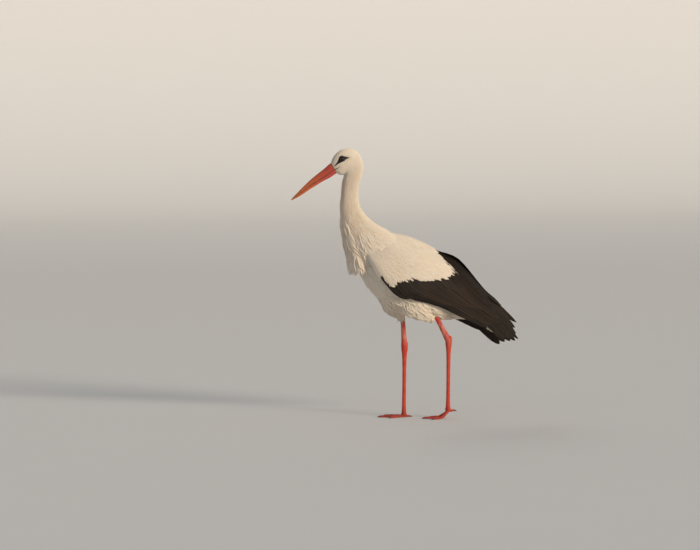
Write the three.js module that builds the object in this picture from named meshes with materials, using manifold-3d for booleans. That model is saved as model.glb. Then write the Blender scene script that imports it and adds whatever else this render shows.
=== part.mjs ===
// A white stork at life size, walking, in millimetres. +Z is up, the bird faces -X and its left side is
// towards -Y. The stations below are given in the bird's own frame, whose X and Z start under the breast
// on the floor. The finished group is moved so that its origin is the middle of its footprint.
import * as THREE from "three";
import { mergeVertices } from "three/addons/utils/BufferGeometryUtils.js";
import Module from "manifold-3d";

const wasm = await Module();
wasm.setup();

// ---------------------------------------------------------------- driving dimensions
const GAP = 0.3; // clearance between neighbouring pieces
const LEFT = -1; // sign of Y on the bird's left side
const RIGHT = 1;

const TARSUS = 226; // ankle to toe hub
const HUB_RADIUS = 9.4; // the joint that the toes spread from

const EYE = { x: -214, y: 16.5, z: 857, radius: 8.5 };
const HEAD_CUT = { through: [-207, 0, 792], normal: [-0.359, 0, 0.933] };
const NECK_CUT = { through: [-180, 0, 690], normal: [0, 0, 1] };
const SHOULDER_CUT = { through: [-219, 0, 612], normal: [-0.124, 0, 0.992] };

// The flesh from brow to rump, as cross-sections. Each one has its upper point, its lower point (x, z)
// and its half width. Around the throat the sections fan out, as the head turns down into the neck.
const FLESH = [
  { top: [-247, 846], bottom: [-228, 810], half: 14 },
  { top: [-241, 860], bottom: [-218, 805], half: 18.5 },
  { top: [-227, 877], bottom: [-209, 804], half: 23 },
  { top: [-208, 888], bottom: [-204, 804], half: 25.5 },
  { top: [-184, 891], bottom: [-202, 803], half: 27 },
  { top: [-163, 882], bottom: [-203, 801], half: 27 },
  { top: [-147, 859], bottom: [-204, 798], half: 26 },
  { top: [-140, 830], bottom: [-206, 794], half: 25 },
  { top: [-145, 804], bottom: [-209, 787], half: 25 },
  { top: [-155, 773], bottom: [-212, 768], half: 24.5 },
  { top: [-157, 740], bottom: [-214, 739], half: 25 },
  { top: [-153, 706], bottom: [-218, 707], half: 28 },
  { top: [-136, 675], bottom: [-217, 678], half: 34 },
  { top: [-104, 645], bottom: [-214, 644], half: 44 },
  { top: [-54, 616], bottom: [-205, 598], half: 60 },
  { top: [-7, 586], bottom: [-189, 545], half: 74 },
  { top: [32, 556], bottom: [-163, 498], half: 83 },
  { top: [68, 529], bottom: [-136, 452], half: 87 },
  { top: [101, 502], bottom: [-105, 411], half: 87 },
  { top: [131, 472], bottom: [-66, 376], half: 84 },
  { top: [158, 442], bottom: [-14, 350], half: 77 },
  { top: [181, 415], bottom: [44, 340], half: 66 },
  { top: [202, 392], bottom: [97, 332], half: 53 },
  { top: [222, 372], bottom: [146, 330], half: 40 },
  { top: [240, 353], bottom: [188, 328], half: 28 },
];

// Long breast feathers that hang in front of the breast and end in a free point.
const RUFF = [
  { top: [-172, 676], bottom: [-217, 676], half: 26 },
  { top: [-168, 640], bottom: [-217, 642], half: 40 },
  { top: [-158, 604], bottom: [-211, 608], half: 50 },
  { top: [-150, 566], bottom: [-204, 570], half: 54 },
  { top: [-146, 526], bottom: [-195, 532], half: 48 },
  { top: [-150, 496], bottom: [-183, 500], half: 34 },
  { top: [-160, 472], bottom: [-171, 474], half: 16 },
];

// Bill: culmen, cutting edge and gonys, from the feathers to the tip (x, z), and the half width there.
const BILL = [
  { culmen: [-236, 838], edge: [-229, 823.5], gonys: [-222, 814], half: 12.5 },
  { culmen: [-248, 843], edge: [-240, 820.5], gonys: [-231, 809], half: 13 },
  { culmen: [-269, 826], edge: [-262, 805], gonys: [-250, 796], half: 12 },
  { culmen: [-291, 809], edge: [-282, 792], gonys: [-272, 785], half: 10.5 },
  { culmen: [-312, 792], edge: [-303, 779], gonys: [-294, 772], half: 9 },
  { culmen: [-334, 772], edge: [-325, 764], gonys: [-317, 758], half: 7 },
  { culmen: [-356, 750], edge: [-350, 745], gonys: [-344, 740], half: 4.6 },
  { culmen: [-371, 735], edge: [-368, 731.5], gonys: [-366, 728], half: 2.8 },
  { culmen: [-380, 724], edge: [-379.5, 722.6], gonys: [-379, 721.4], half: 1.2 },
];

// The folded wing, from its front edge to where the flight feathers fray out. Each section runs from
// its upper edge to its lower edge (x, y outwards, z), bows outwards and has a thickness.
const WING = [
  { upper: [-98, 30, 612], lower: [-134, 84, 534], bow: 8, thick: 5 },
  { upper: [-49, 14, 608], lower: [-101, 97, 483], bow: 24, thick: 15 },
  { upper: [3, 3, 595], lower: [-65, 101, 439], bow: 33, thick: 20 },
  { upper: [50, 2, 576], lower: [-28, 102, 410], bow: 35, thick: 22 },
  { upper: [97, 2, 551], lower: [13, 99, 400], bow: 34, thick: 21 },
  { upper: [137, 2, 531], lower: [56, 93, 395], bow: 31, thick: 19 },
  { upper: [171, 2, 511], lower: [95, 86, 383], bow: 27, thick: 17 },
  { upper: [204, 2, 482], lower: [137, 78, 369], bow: 23, thick: 15 },
  { upper: [236, 2, 448], lower: [179, 69, 350], bow: 18, thick: 12 },
  { upper: [269, 3, 412], lower: [222, 60, 332], bow: 14, thick: 10 },
  { upper: [299, 5, 389], lower: [261, 50, 309], bow: 10, thick: 7 },
  { upper: [322, 8, 369], lower: [296, 40, 287], bow: 7, thick: 4.5 },
];
// The right wing is folded more loosely: its upper edge humps up around one station, and its lower edge
// hangs lower from one station to another.
const LOOSE = { lift: 9, humpAt: 6, humpWidth: 1.3, droop: 24, from: 5, full: 9 };

// Free tips of the longest flight feathers: root and tip (x, y outwards, z), and width.
const PRIMARY_TIPS = [
  { root: [262, 12, 402], tip: [373, 12, 312], width: 17 },
  { root: [262, 22, 385], tip: [366, 17, 286], width: 26 },
  { root: [258, 31, 366], tip: [376, 22, 258], width: 24 },
  { root: [252, 40, 350], tip: [351, 27, 262], width: 27 },
  { root: [246, 49, 334], tip: [326, 33, 256], width: 28 },
];
const PRIMARY_THICKNESS = 2.6;

// Where white coverts and scapulars end on the black flight feathers (x, z), from the front backwards.
const COVERT_EDGE = [
  [-200, 438], [-55, 438], [-41, 456], [3, 460], [68, 460], [126, 462], [175, 471], [140, 510],
  [100, 551], [92, 640], [-200, 640],
];
// The flight feathers are parted from their tips along this line (x, z).
const TIPS_FROM = [[272, 470], [243, 280]];

const TAIL = [
  { top: [196, 384], bottom: [176, 344], half: 22 },
  { top: [222, 360], bottom: [206, 327], half: 30 },
  { top: [250, 334], bottom: [238, 312], half: 36 },
  { top: [284, 306], bottom: [275, 293], half: 42 },
  { top: [314, 284], bottom: [308, 275], half: 46 },
  { top: [334, 268], bottom: [330, 263], half: 40 },
];

// Feathered thighs. y is the distance of the section's middle from the bird's midline.
const THIGHS = {
  left: [
    { top: [98, 448], bottom: [-40, 414], half: 32, y: 46 },
    { top: [98, 408], bottom: [-17, 356], half: 33, y: 44 },
    { top: [92, 380], bottom: [22, 333], half: 27, y: 39 },
    { top: [86, 360], bottom: [57, 323], half: 18, y: 35 },
    { top: [84, 342], bottom: [70, 322], half: 9, y: 33 },
  ],
  right: [
    { top: [36, 450], bottom: [-90, 424], half: 30, y: 44 },
    { top: [36, 396], bottom: [-74, 379], half: 31, y: 42 },
    { top: [26, 362], bottom: [-57, 350], half: 25, y: 37 },
    { top: [12, 345], bottom: [-35, 337], half: 16, y: 32 },
    { top: [4, 336], bottom: [-20, 331], half: 9, y: 30 },
  ],
};

// Legs: side, distance from the midline, ankle (x), toe hub (x, z) and where the shank's upper end is
// buried in the thigh (x, z). The left foot is behind and pushes off, with its hub raised.
const LEGS = {
  left: { side: LEFT, y: 32, ankle: 140, hub: [138, 30], shankTop: [68, 394] },
  right: { side: RIGHT, y: 30, ankle: 4, hub: [2, 9], shankTop: [-5, 362] },
};
// Fore-and-aft and side-to-side radii down the shank and the tarsus, at shares of their length.
const SHANK = [
  { at: 0, fore: 7.8, side: 6.6 },
  { at: 0.5, fore: 7.8, side: 6.6 },
  { at: 0.8, fore: 9.2, side: 7.6 },
  { at: 0.94, fore: 10.8, side: 9.2 },
  { at: 1, fore: 11.2, side: 9.8 },
];
const TARSUS_SHAPE = [
  { at: 0, fore: 11.4, side: 10 },
  { at: 0.06, fore: 10.8, side: 9.4 },
  { at: 0.14, fore: 7.8, side: 6.6 },
  { at: 0.3, fore: 6.8, side: 5.5 },
  { at: 0.7, fore: 6.4, side: 5.2 },
  { at: 0.92, fore: 7.4, side: 6.2 },
  { at: 1, fore: 8.6, side: 7.6 },
];

// Toes: heading in degrees from straight ahead, outwards positive, length without the claw, radius.
const TOES = {
  hallux: { heading: 172, length: 20, radius: 4.6 },
  inner: { heading: -30, length: 58, radius: 4.9 },
  middle: { heading: 2, length: 79, radius: 5.2 },
  outer: { heading: 33, length: 66, radius: 5 },
};
const TOE_TAPER = 0.24; // share of its radius that a toe loses along its length
const TOE_SIT = 0.82; // height of a toe's axis, in its radii, so that its underside is flat on the floor
const TOE_REACH = 0.6; // share of a toe's length in which it comes down from a raised hub
const HALLUX_RISE = 3; // how much the hind toe of a raised foot rises towards its end
const CLAW = { length: 9, girth: 0.6, taper: 0.84, drop: 2.4 }; // girth as a share of the toe's radius

const COLOURS = {
  plumage: { color: 0xe6dac4, roughness: 0.85, metalness: 0 },
  flight: { color: 0x1f1b19, roughness: 0.55, metalness: 0 },
  bill: { color: 0xb8452f, roughness: 0.4, metalness: 0 },
  eye: { color: 0x0d0a08, roughness: 0.1, metalness: 0 },
  leg: { color: 0xc63f2e, roughness: 0.5, metalness: 0 },
  claw: { color: 0x2b211c, roughness: 0.45, metalness: 0 },
};

// ---------------------------------------------------------------- solids
/** A closed three.js geometry as a solid, turned to face outwards. */
function solidOf(geometry) {
  const bare = geometry.clone();
  bare.deleteAttribute("normal");
  bare.deleteAttribute("uv");
  const merged = mergeVertices(bare, 1e-4);
  const make = (triVerts) =>
    new wasm.Manifold(
      new wasm.Mesh({
        numProp: 3,
        vertProperties: merged.attributes.position.array,
        triVerts,
      }),
    );
  const triangles = new Uint32Array(merged.index.array);
  const made = make(triangles);
  if (made.volume() > 0) return made;
  return make(triangles.reverse());
}

/** A solid as a named mesh with its material. */
function meshOf(name, solid, finish) {
  const { numProp, numVert, vertProperties, triVerts } = largest(solid).getMesh();
  const positions = new Float32Array(numVert * 3);
  for (let i = 0; i < numVert; i++)
    positions.set(vertProperties.subarray(i * numProp, i * numProp + 3), i * 3);
  const geometry = new THREE.BufferGeometry()
    .setAttribute("position", new THREE.BufferAttribute(positions, 3))
    .setIndex(new THREE.BufferAttribute(triVerts, 1));
  geometry.computeVertexNormals();
  const mesh = new THREE.Mesh(geometry, new THREE.MeshStandardMaterial(finish));
  mesh.name = name;
  return mesh;
}

/** The largest piece of a solid, without the slivers that a cut can leave beside it. */
function largest(solid) {
  return solid.decompose().reduce((a, b) => (a.volume() > b.volume() ? a : b));
}

/** What is left of a solid once its neighbours have been cut away. */
function carve(solid, ...neighbours) {
  return neighbours.reduce((left, cutter) => left.subtract(cutter), solid);
}

/** The part of a solid on the side of a plane that its normal points to, half a gap clear of it. */
function beyond(solid, { through, normal }, side) {
  const way = new THREE.Vector3(...normal).normalize().multiplyScalar(side);
  const offset = way.dot(new THREE.Vector3(...through)) + GAP / 2;
  return solid.trimByPlane(way.toArray(), offset);
}

/** A closed tube whose rings are placed by a function of (share of length, angle, share of radius). */
function tube(sides, steps, place) {
  const geometry = new THREE.CylinderGeometry(1, 1, 1, sides, steps);
  const position = geometry.attributes.position;
  for (let i = 0; i < position.count; i++) {
    const x = position.getX(i);
    const z = position.getZ(i);
    const point = place(position.getY(i) + 0.5, Math.atan2(z, x), Math.min(1, Math.hypot(x, z)));
    position.setXYZ(i, point.x, point.y, point.z);
  }
  return solidOf(geometry);
}

/** A smooth run through numbers or points, read at a share of its length in stations. */
function smooth(points) {
  const curve = new THREE.CatmullRomCurve3(points.map((p) => new THREE.Vector3(...p)));
  return (share) => curve.getPoint(share);
}

/** A body with its sections across the midline plane, each from an upper to a lower point. */
function bodied(stations, { sides = 24, steps, side = 0, egg = 0, grow = 0 }) {
  const top = smooth(stations.map(({ top }) => [top[0], 0, top[1]]));
  const bottom = smooth(stations.map(({ bottom }) => [bottom[0], 0, bottom[1]]));
  const wide = smooth(stations.map(({ half, y = 0 }) => [half, y * side, 0]));
  return tube(sides, steps, (share, angle, reach) => {
    const upper = top(share);
    const lower = bottom(share);
    const across = upper.clone().sub(lower).multiplyScalar(0.5);
    const width = wide(share);
    const rise = Math.sin(angle);
    const height = (across.length() + grow) * reach * rise;
    const out = (width.x + grow) * reach * Math.cos(angle) * (1 + egg * rise);
    const middle = upper.add(lower).multiplyScalar(0.5);
    return middle
      .addScaledVector(across.normalize(), height)
      .add(new THREE.Vector3(0, width.y + out, 0));
  });
}

/** A round limb along points, with fore-and-aft and side-to-side radii at shares of its length. */
function limb(points, shape, { sides = 8, steps, grow = 0 }) {
  const path = new THREE.CatmullRomCurve3(points.map((p) => new THREE.Vector3(...p)));
  const across = new THREE.Vector3(0, 1, 0);
  return tube(sides, steps, (share, angle, reach) => {
    const { fore, side } = between(shape, share);
    const along = path.getTangent(share);
    const front = new THREE.Vector3().crossVectors(along, across).normalize();
    return path
      .getPoint(share)
      .addScaledVector(front, (fore + grow) * reach * Math.sin(angle))
      .addScaledVector(across, (side + grow) * reach * Math.cos(angle));
  });
}

/** The radii at a share of the length, between the two stations that stand around it. */
function between(shape, share) {
  const next = Math.max(1, shape.findIndex(({ at }) => at >= share - 1e-6));
  const [a, b] = [shape[next - 1], shape[next]];
  const mix = THREE.MathUtils.clamp((share - a.at) / (b.at - a.at), 0, 1);
  return {
    fore: THREE.MathUtils.lerp(a.fore, b.fore, mix),
    side: THREE.MathUtils.lerp(a.side, b.side, mix),
  };
}

/** A block as deep as the bird is wide, over an outline in the X-Z plane. */
function slab(outline) {
  const shape = new THREE.Shape(outline.map(([x, z]) => new THREE.Vector2(x, z)));
  const geometry = new THREE.ExtrudeGeometry(shape, { depth: 400, bevelEnabled: false });
  geometry.rotateX(Math.PI / 2).translate(0, 200, 0);
  return solidOf(geometry);
}

/** An outline with each point moved out from its neighbours' line by a distance. */
function widened(outline, distance) {
  const turn = new THREE.Vector2();
  return outline.map((point, i) => {
    const before = outline.at(i - 1);
    const after = outline[(i + 1) % outline.length];
    turn.set(after[1] - before[1], before[0] - after[0]).normalize();
    return [point[0] + turn.x * distance, point[1] + turn.y * distance];
  });
}

// ---------------------------------------------------------------- wings
/** A wing's stations, with the right wing's looser fold worked in. */
function wingStations(side) {
  return WING.map((station, i) => {
    const loose = side === RIGHT ? 1 : 0;
    const lift = LOOSE.lift * Math.exp(-(((i - LOOSE.humpAt) / LOOSE.humpWidth) ** 2));
    const droop = LOOSE.droop * THREE.MathUtils.smoothstep(i, LOOSE.from, LOOSE.full);
    const [ux, uy, uz] = station.upper;
    const [lx, ly, lz] = station.lower;
    return {
      ...station,
      upper: [ux, uy * side, uz + lift * loose],
      lower: [lx, ly * side, lz - droop * loose],
    };
  });
}

/** The folded wing up to the free feather tips, as a bowed shell with a thin edge above and below. */
function wingShell(side, grow) {
  const stations = wingStations(side);
  const upper = smooth(stations.map((s) => s.upper));
  const lower = smooth(stations.map((s) => s.lower));
  const form = smooth(stations.map((s) => [s.bow, s.thick / 2, 0]));
  return tube(14, 14, (share, angle, reach) => {
    const top = upper(share);
    const chord = lower(share).sub(top);
    const back = upper(Math.min(1, share + 0.02)).sub(upper(Math.min(0.98, share))).normalize();
    const out = new THREE.Vector3().crossVectors(back, chord).normalize();
    if (out.y * side < 0) out.negate();
    const { x: bow, y: half } = form(share);
    const overhang = grow / chord.length();
    const down = (0.5 - 0.5 * Math.cos(angle) * reach) * (1 + 2 * overhang) - overhang;
    const end = share === 0 ? -grow : share === 1 ? grow : 0;
    const depth = (half + grow) * Math.sin(angle) * reach;
    return top
      .addScaledVector(chord, down)
      .addScaledVector(out, bow * 4 * down * (1 - down) + depth)
      .addScaledVector(back, end);
  });
}

/** One long feather blade from its root to its rounded tip. */
function blade({ root, tip, width }, side, grow) {
  const from = new THREE.Vector3(root[0], root[1] * side, root[2]);
  const to = new THREE.Vector3(tip[0], tip[1] * side, tip[2]);
  const length = from.distanceTo(to);
  const half = width / 2 + grow;
  const outline = new THREE.Shape()
    .moveTo(0, -half * 0.7)
    .lineTo(length * 0.55, -half)
    .quadraticCurveTo(length * 0.86, -half, length + grow, -half * 0.12)
    .lineTo(length + grow, half * 0.12)
    .quadraticCurveTo(length * 0.86, half, length * 0.55, half)
    .lineTo(0, half * 0.7);
  const depth = PRIMARY_THICKNESS + 2 * grow;
  const geometry = new THREE.ExtrudeGeometry(outline, { depth, bevelEnabled: false, curveSegments: 2 });
  geometry.translate(0, 0, -depth / 2);
  const along = to.clone().sub(from).normalize();
  const out = new THREE.Vector3(0.12, side, 0.3).projectOnPlane(along).normalize();
  const up = new THREE.Vector3().crossVectors(out, along);
  geometry.applyMatrix4(new THREE.Matrix4().makeBasis(along, up, out).setPosition(from));
  return solidOf(geometry);
}

/** The whole folded wing of one side, kept on its own side of the midline. */
function wingWhole(side, grow = 0) {
  const midline = { through: [0, 0, 0], normal: [0, side, 0] };
  const spread = side === RIGHT ? LOOSE.droop * 0.55 : 0;
  const tips = PRIMARY_TIPS.map(({ root, tip, width }, i) => {
    const down = (spread * i) / (PRIMARY_TIPS.length - 1);
    return { width, root: [root[0], root[1], root[2] - down], tip: [tip[0], tip[1], tip[2] - down] };
  });
  const solid = tips.reduce((wing, tip) => wing.add(blade(tip, side, grow)), wingShell(side, grow));
  return beyond(solid, midline, 1);
}

/** Region behind the line where the tips of the flight feathers start. */
function tipsRegion(shift) {
  const [[x1, z1], [x2, z2]] = TIPS_FROM;
  return slab([[x1 + shift, z1], [x2 + shift, z2], [x2 + shift, 100], [500, 100], [500, z1]]);
}

/** White coverts, black flight feathers and their tips of one side. */
function wingParts(name, side) {
  const whole = wingWhole(side);
  const coverts = whole.intersect(slab(COVERT_EDGE));
  const black = whole.subtract(slab(widened(COVERT_EDGE, GAP)));
  return [
    meshOf(`wing_${name}_coverts`, coverts, COLOURS.plumage),
    meshOf(`wing_${name}_secondaries`, black.subtract(tipsRegion(0)), COLOURS.flight),
    meshOf(`wing_${name}_primaries`, black.intersect(tipsRegion(GAP)), COLOURS.flight),
  ];
}

// ---------------------------------------------------------------- head and bill
/** Upper or lower half of the bill, parted along the cutting edge. */
function billHalf(half, grow = 0) {
  const stations = BILL.map(({ culmen, edge, gonys, half: width }) =>
    half === "upper"
      ? { top: culmen, bottom: [edge[0] - GAP / 3, edge[1] + GAP / 2], half: width }
      : { top: [edge[0] + GAP / 3, edge[1] - GAP / 2], bottom: gonys, half: width * 0.92 },
  );
  const egg = half === "upper" ? -0.32 : 0.3;
  return bodied(stations, { sides: 10, steps: 9, egg, grow });
}

/** An eyeball, set into the side of the head. */
function eyeball(side, grow = 0) {
  const geometry = new THREE.SphereGeometry(EYE.radius + grow, 10, 7);
  geometry.translate(EYE.x, EYE.y * side, EYE.z);
  return solidOf(geometry);
}

// ---------------------------------------------------------------- legs
/** The ankle's place, straight enough above the toe hub for the tarsus to have its length. */
function anklePoint({ side, y, ankle, hub }) {
  return [ankle, y * side, hub[1] + Math.sqrt(TARSUS ** 2 - (ankle - hub[0]) ** 2)];
}

/** Bare shank of a leg, down to the ankle. */
function shank(leg, grow = 0) {
  const top = [leg.shankTop[0], leg.y * leg.side, leg.shankTop[1]];
  return limb([top, anklePoint(leg)], SHANK, { steps: 5, grow });
}

/** Tarsus of a leg, from the ankle to the toe hub. */
function tarsus(leg, grow = 0) {
  const top = anklePoint(leg);
  const bottom = [leg.hub[0], leg.y * leg.side, leg.hub[1]];
  const knob = new THREE.SphereGeometry(1, 8, 6);
  knob.scale(TARSUS_SHAPE[0].fore + grow, TARSUS_SHAPE[0].side + grow, TARSUS_SHAPE[0].fore + grow);
  knob.translate(...top);
  const foot = new THREE.SphereGeometry(HUB_RADIUS + grow, 8, 6);
  foot.translate(...bottom);
  return limb([top, bottom], TARSUS_SHAPE, { steps: 7, grow }).add(solidOf(knob)).add(solidOf(foot));
}

/** Direction of a toe over the floor. */
function toeWay(side, heading) {
  const angle = THREE.MathUtils.degToRad(heading);
  return new THREE.Vector3(-Math.cos(angle), Math.sin(angle) * side, 0);
}

/** A point on a toe's axis. From a raised hub a front toe comes down and then lies along the floor. */
function toePoint({ side, y, hub }, { heading, length, radius }, share) {
  const raised = Math.max(0, hub[1] - HUB_RADIUS);
  const behind = Math.abs(heading) > 90;
  const down = behind ? 0 : 1 - Math.max(0, 1 - share / TOE_REACH) ** 2;
  const rise = behind && raised > 0 ? HALLUX_RISE * share : 0;
  const height = TOE_SIT * radius * (1 - TOE_TAPER * share) + raised * (1 - down) + rise;
  return toeWay(side, heading)
    .multiplyScalar(length * share)
    .add(new THREE.Vector3(hub[0], y * side, height));
}

/** A toe with its pads, laid along the floor, its underside flat where it touches. */
function toe(leg, shape, grow = 0) {
  const { heading, length, radius } = shape;
  const sides = 8;
  const across = toeWay(leg.side, heading + 90);
  const pads = Math.max(2, Math.round(length / 20));
  return tube(sides, 6, (share, corner, reach) => {
    const angle = corner + Math.PI / sides;
    const pad = 1 + 0.07 * Math.cos(share * pads * 2 * Math.PI);
    const round = share > 0.99 ? 0.55 : 1;
    const size = (radius * (1 - TOE_TAPER * share) * pad * round + grow) * reach;
    const along = toePoint(leg, shape, share + 0.01).sub(toePoint(leg, shape, share - 0.01));
    const up = new THREE.Vector3().crossVectors(along, across).normalize();
    if (up.z < 0) up.negate();
    const point = toePoint(leg, shape, share * (1 + grow / length))
      .addScaledVector(across, size * Math.cos(angle))
      .addScaledVector(up, size * Math.sin(angle));
    return point.setZ(Math.max(-grow, point.z));
  });
}

/** A short blunt claw that grows on from the end of a toe and curves down to the floor. */
function claw(leg, shape) {
  const way = toeWay(leg.side, shape.heading);
  const across = toeWay(leg.side, shape.heading + 90);
  const start = toePoint(leg, shape, 1).addScaledVector(way, GAP);
  return tube(6, 2, (share, angle, reach) => {
    const size = CLAW.girth * shape.radius * (1 - CLAW.taper * share ** 1.5) * reach;
    return start
      .clone()
      .addScaledVector(way, CLAW.length * share)
      .addScaledVector(across, size * Math.cos(angle))
      .add(new THREE.Vector3(0, 0, size * Math.sin(angle) - CLAW.drop * share ** 2));
  });
}

/** Shank, tarsus, toes and claws of one leg. Each piece is cut by those that it meets. */
function legParts(name, leg) {
  const hub = tarsus(leg, GAP);
  const floor = { through: [0, 0, -GAP / 2], normal: [0, 0, 1] };
  const meshes = [
    meshOf(`shank_${name}`, carve(shank(leg), hub), COLOURS.leg),
    meshOf(`tarsus_${name}`, beyond(tarsus(leg), floor, 1), COLOURS.leg),
  ];
  const laid = [hub];
  for (const [digit, shape] of Object.entries(TOES)) {
    meshes.push(meshOf(`toe_${name}_${digit}`, carve(toe(leg, shape), ...laid), COLOURS.leg));
    meshes.push(meshOf(`claw_${name}_${digit}`, claw(leg, shape), COLOURS.claw));
    laid.push(toe(leg, shape, GAP));
  }
  return meshes;
}

// ---------------------------------------------------------------- body
/** Feathered thigh of one leg. */
function thigh(name, leg, grow = 0) {
  return bodied(THIGHS[name], { side: leg.side, sides: 12, steps: 7, grow });
}

/** Head, neck, breast, trunk, thighs and tail, parted by thin cuts. */
function bodyParts() {
  const flesh = bodied(FLESH, { sides: 20, steps: 30 });
  const wings = [wingWhole(LEFT, GAP), wingWhole(RIGHT, GAP)];
  const thighs = Object.entries(LEGS).map(([name, leg]) => thigh(name, leg, GAP));
  const shanks = Object.values(LEGS).map((leg) => shank(leg, GAP));
  const bill = [billHalf("upper", GAP), billHalf("lower", GAP)];
  const eyes = [eyeball(LEFT, GAP), eyeball(RIGHT, GAP)];
  const ruff = bodied(RUFF, { sides: 12, steps: 8 });
  const ruffRoom = bodied(RUFF, { sides: 12, steps: 8, grow: GAP });
  const tail = bodied(TAIL, { sides: 12, steps: 6 });
  const tailRoom = bodied(TAIL, { sides: 12, steps: 6, grow: GAP });

  const head = beyond(flesh, HEAD_CUT, 1);
  const belowHead = beyond(flesh, HEAD_CUT, -1);
  const neckUpper = beyond(belowHead, NECK_CUT, 1);
  const belowNeck = beyond(belowHead, NECK_CUT, -1);
  const neckLower = beyond(belowNeck, SHOULDER_CUT, 1);
  const trunk = beyond(belowNeck, SHOULDER_CUT, -1);

  const pieces = {
    head: carve(head, ...bill, ...eyes),
    neck_upper: neckUpper,
    neck_lower: carve(neckLower, ruffRoom, ...wings),
    breast_plumes: carve(ruff, ...wings),
    trunk: carve(trunk, ruffRoom, ...wings, ...thighs, ...shanks, tailRoom),
    tail: carve(tail, ...wings),
  };
  for (const [name, leg] of Object.entries(LEGS))
    pieces[`thigh_${name}`] = carve(thigh(name, leg), ...wings, ...shanks);
  return Object.entries(pieces).map(([name, solid]) => meshOf(name, solid, COLOURS.plumage));
}

// ---------------------------------------------------------------- the whole bird
const stork = new THREE.Group();
stork.add(
  ...bodyParts(),
  meshOf("bill_upper", billHalf("upper"), COLOURS.bill),
  meshOf("bill_lower", billHalf("lower"), COLOURS.bill),
  meshOf("eye_left", eyeball(LEFT), COLOURS.eye),
  meshOf("eye_right", eyeball(RIGHT), COLOURS.eye),
  ...wingParts("left", LEFT),
  ...wingParts("right", RIGHT),
  ...legParts("left", LEGS.left),
  ...legParts("right", LEGS.right),
);

// The origin is the middle of the bounding box, on the floor.
const box = new THREE.Box3().setFromObject(stork);
const middle = box.getCenter(new THREE.Vector3());
stork.position.set(-middle.x, -middle.y, -box.min.z);

export default stork;
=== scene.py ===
"""A white stork, walking: one skin, the feathers laid over it, bill, eyes, claws and the studio.

Sizes are in millimetres in the bird's own frame, whose X and Z start on the floor under the breast.
The bird faces -X and its left side is towards -Y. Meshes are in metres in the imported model's frame.
"""

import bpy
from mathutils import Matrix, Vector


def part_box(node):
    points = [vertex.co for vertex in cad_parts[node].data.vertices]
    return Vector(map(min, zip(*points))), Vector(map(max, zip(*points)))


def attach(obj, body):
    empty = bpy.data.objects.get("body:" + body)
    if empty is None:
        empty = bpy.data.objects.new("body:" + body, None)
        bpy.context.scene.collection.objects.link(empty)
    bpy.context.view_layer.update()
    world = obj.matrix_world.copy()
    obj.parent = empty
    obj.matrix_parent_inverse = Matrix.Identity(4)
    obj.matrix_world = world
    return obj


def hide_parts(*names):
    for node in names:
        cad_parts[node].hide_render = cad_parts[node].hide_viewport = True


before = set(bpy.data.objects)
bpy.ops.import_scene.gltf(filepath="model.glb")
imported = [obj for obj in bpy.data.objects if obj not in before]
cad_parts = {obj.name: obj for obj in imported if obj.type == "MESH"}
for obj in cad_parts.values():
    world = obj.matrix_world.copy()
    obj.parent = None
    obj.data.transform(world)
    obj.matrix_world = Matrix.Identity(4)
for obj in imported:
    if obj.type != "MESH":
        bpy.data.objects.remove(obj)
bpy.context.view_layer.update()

import logging
import math
from dataclasses import dataclass
from enum import Enum
from typing import Callable, Sequence

import bmesh
import bpy
import numpy as np
from mathutils import Matrix, Vector

LOG = logging.getLogger("stork")
MM = 0.001
ROOT_BODY = "root"
Array = np.ndarray
Pair = tuple[float, float]
Triple = tuple[float, float, float]
Colour = tuple[float, float, float, float]
Piece = bpy.types.Object
Socket = bpy.types.NodeSocket


class Side(Enum):
    """A side of the bird, with the sign of Y there."""

    LEFT = -1
    RIGHT = 1

    @property
    def word(self) -> str:
        """The side's name in node names."""
        return self.name.lower()


# ------------------------------------------------------------------ driving sizes
EYE_X, EYE_Y, EYE_Z, EYE_RADIUS = -214.0, 16.5, 857.0, 8.5
LID_Y, LID_RADIUS, LID_THICK = 22.6, 6.1, 0.95
LID_LONG, LID_HIGH = 1.10, 0.94  # how far the lids' round rim is drawn out lengthways and pressed flat
TARSUS = 226.0
HUB_RADIUS = 9.4
LEAST_COAT = 0.5


@dataclass(frozen=True)
class Section:
    """One cross-section of a body form.

    Attributes:
        top: upper point (x, z).
        bottom: lower point (x, z).
        half: half width.
        coat: depth of the feathers over the skin here.
        y: distance of the section's middle from the midline.
    """

    top: Pair
    bottom: Pair
    half: float
    coat: float
    y: float = 0.0


FLESH = (
    Section((-247, 846), (-228, 810), 14, 1.2),
    Section((-241, 860), (-218, 805), 18.5, 1.4),
    Section((-227, 877), (-209, 804), 23, 1.6),
    Section((-208, 888), (-204, 804), 25.5, 1.7),
    Section((-184, 891), (-202, 803), 27, 1.8),
    Section((-163, 882), (-203, 801), 27, 2.0),
    Section((-147, 859), (-204, 798), 26, 2.2),
    Section((-140, 830), (-206, 794), 25, 2.4),
    Section((-145, 804), (-209, 787), 25, 2.7),
    Section((-155, 773), (-212, 768), 24.5, 2.9),
    Section((-157, 740), (-214, 739), 25, 3.1),
    Section((-153, 706), (-218, 707), 28, 3.4),
    Section((-136, 675), (-217, 678), 34, 3.8),
    Section((-104, 645), (-214, 644), 44, 4.2),
    Section((-54, 616), (-205, 598), 60, 4.5),
    Section((-7, 586), (-189, 545), 74, 4.8),
    Section((32, 556), (-163, 498), 83, 5.1),
    Section((68, 529), (-136, 452), 87, 5.1),
    Section((101, 502), (-105, 411), 87, 5.1),
    Section((131, 472), (-66, 376), 84, 5.1),
    Section((158, 442), (-14, 350), 77, 5.1),
    Section((181, 415), (44, 340), 66, 5.1),
    Section((202, 392), (97, 332), 53, 4.8),
    Section((222, 372), (146, 330), 40, 4.5),
    Section((240, 353), (188, 328), 28, 4.2),
)

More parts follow.
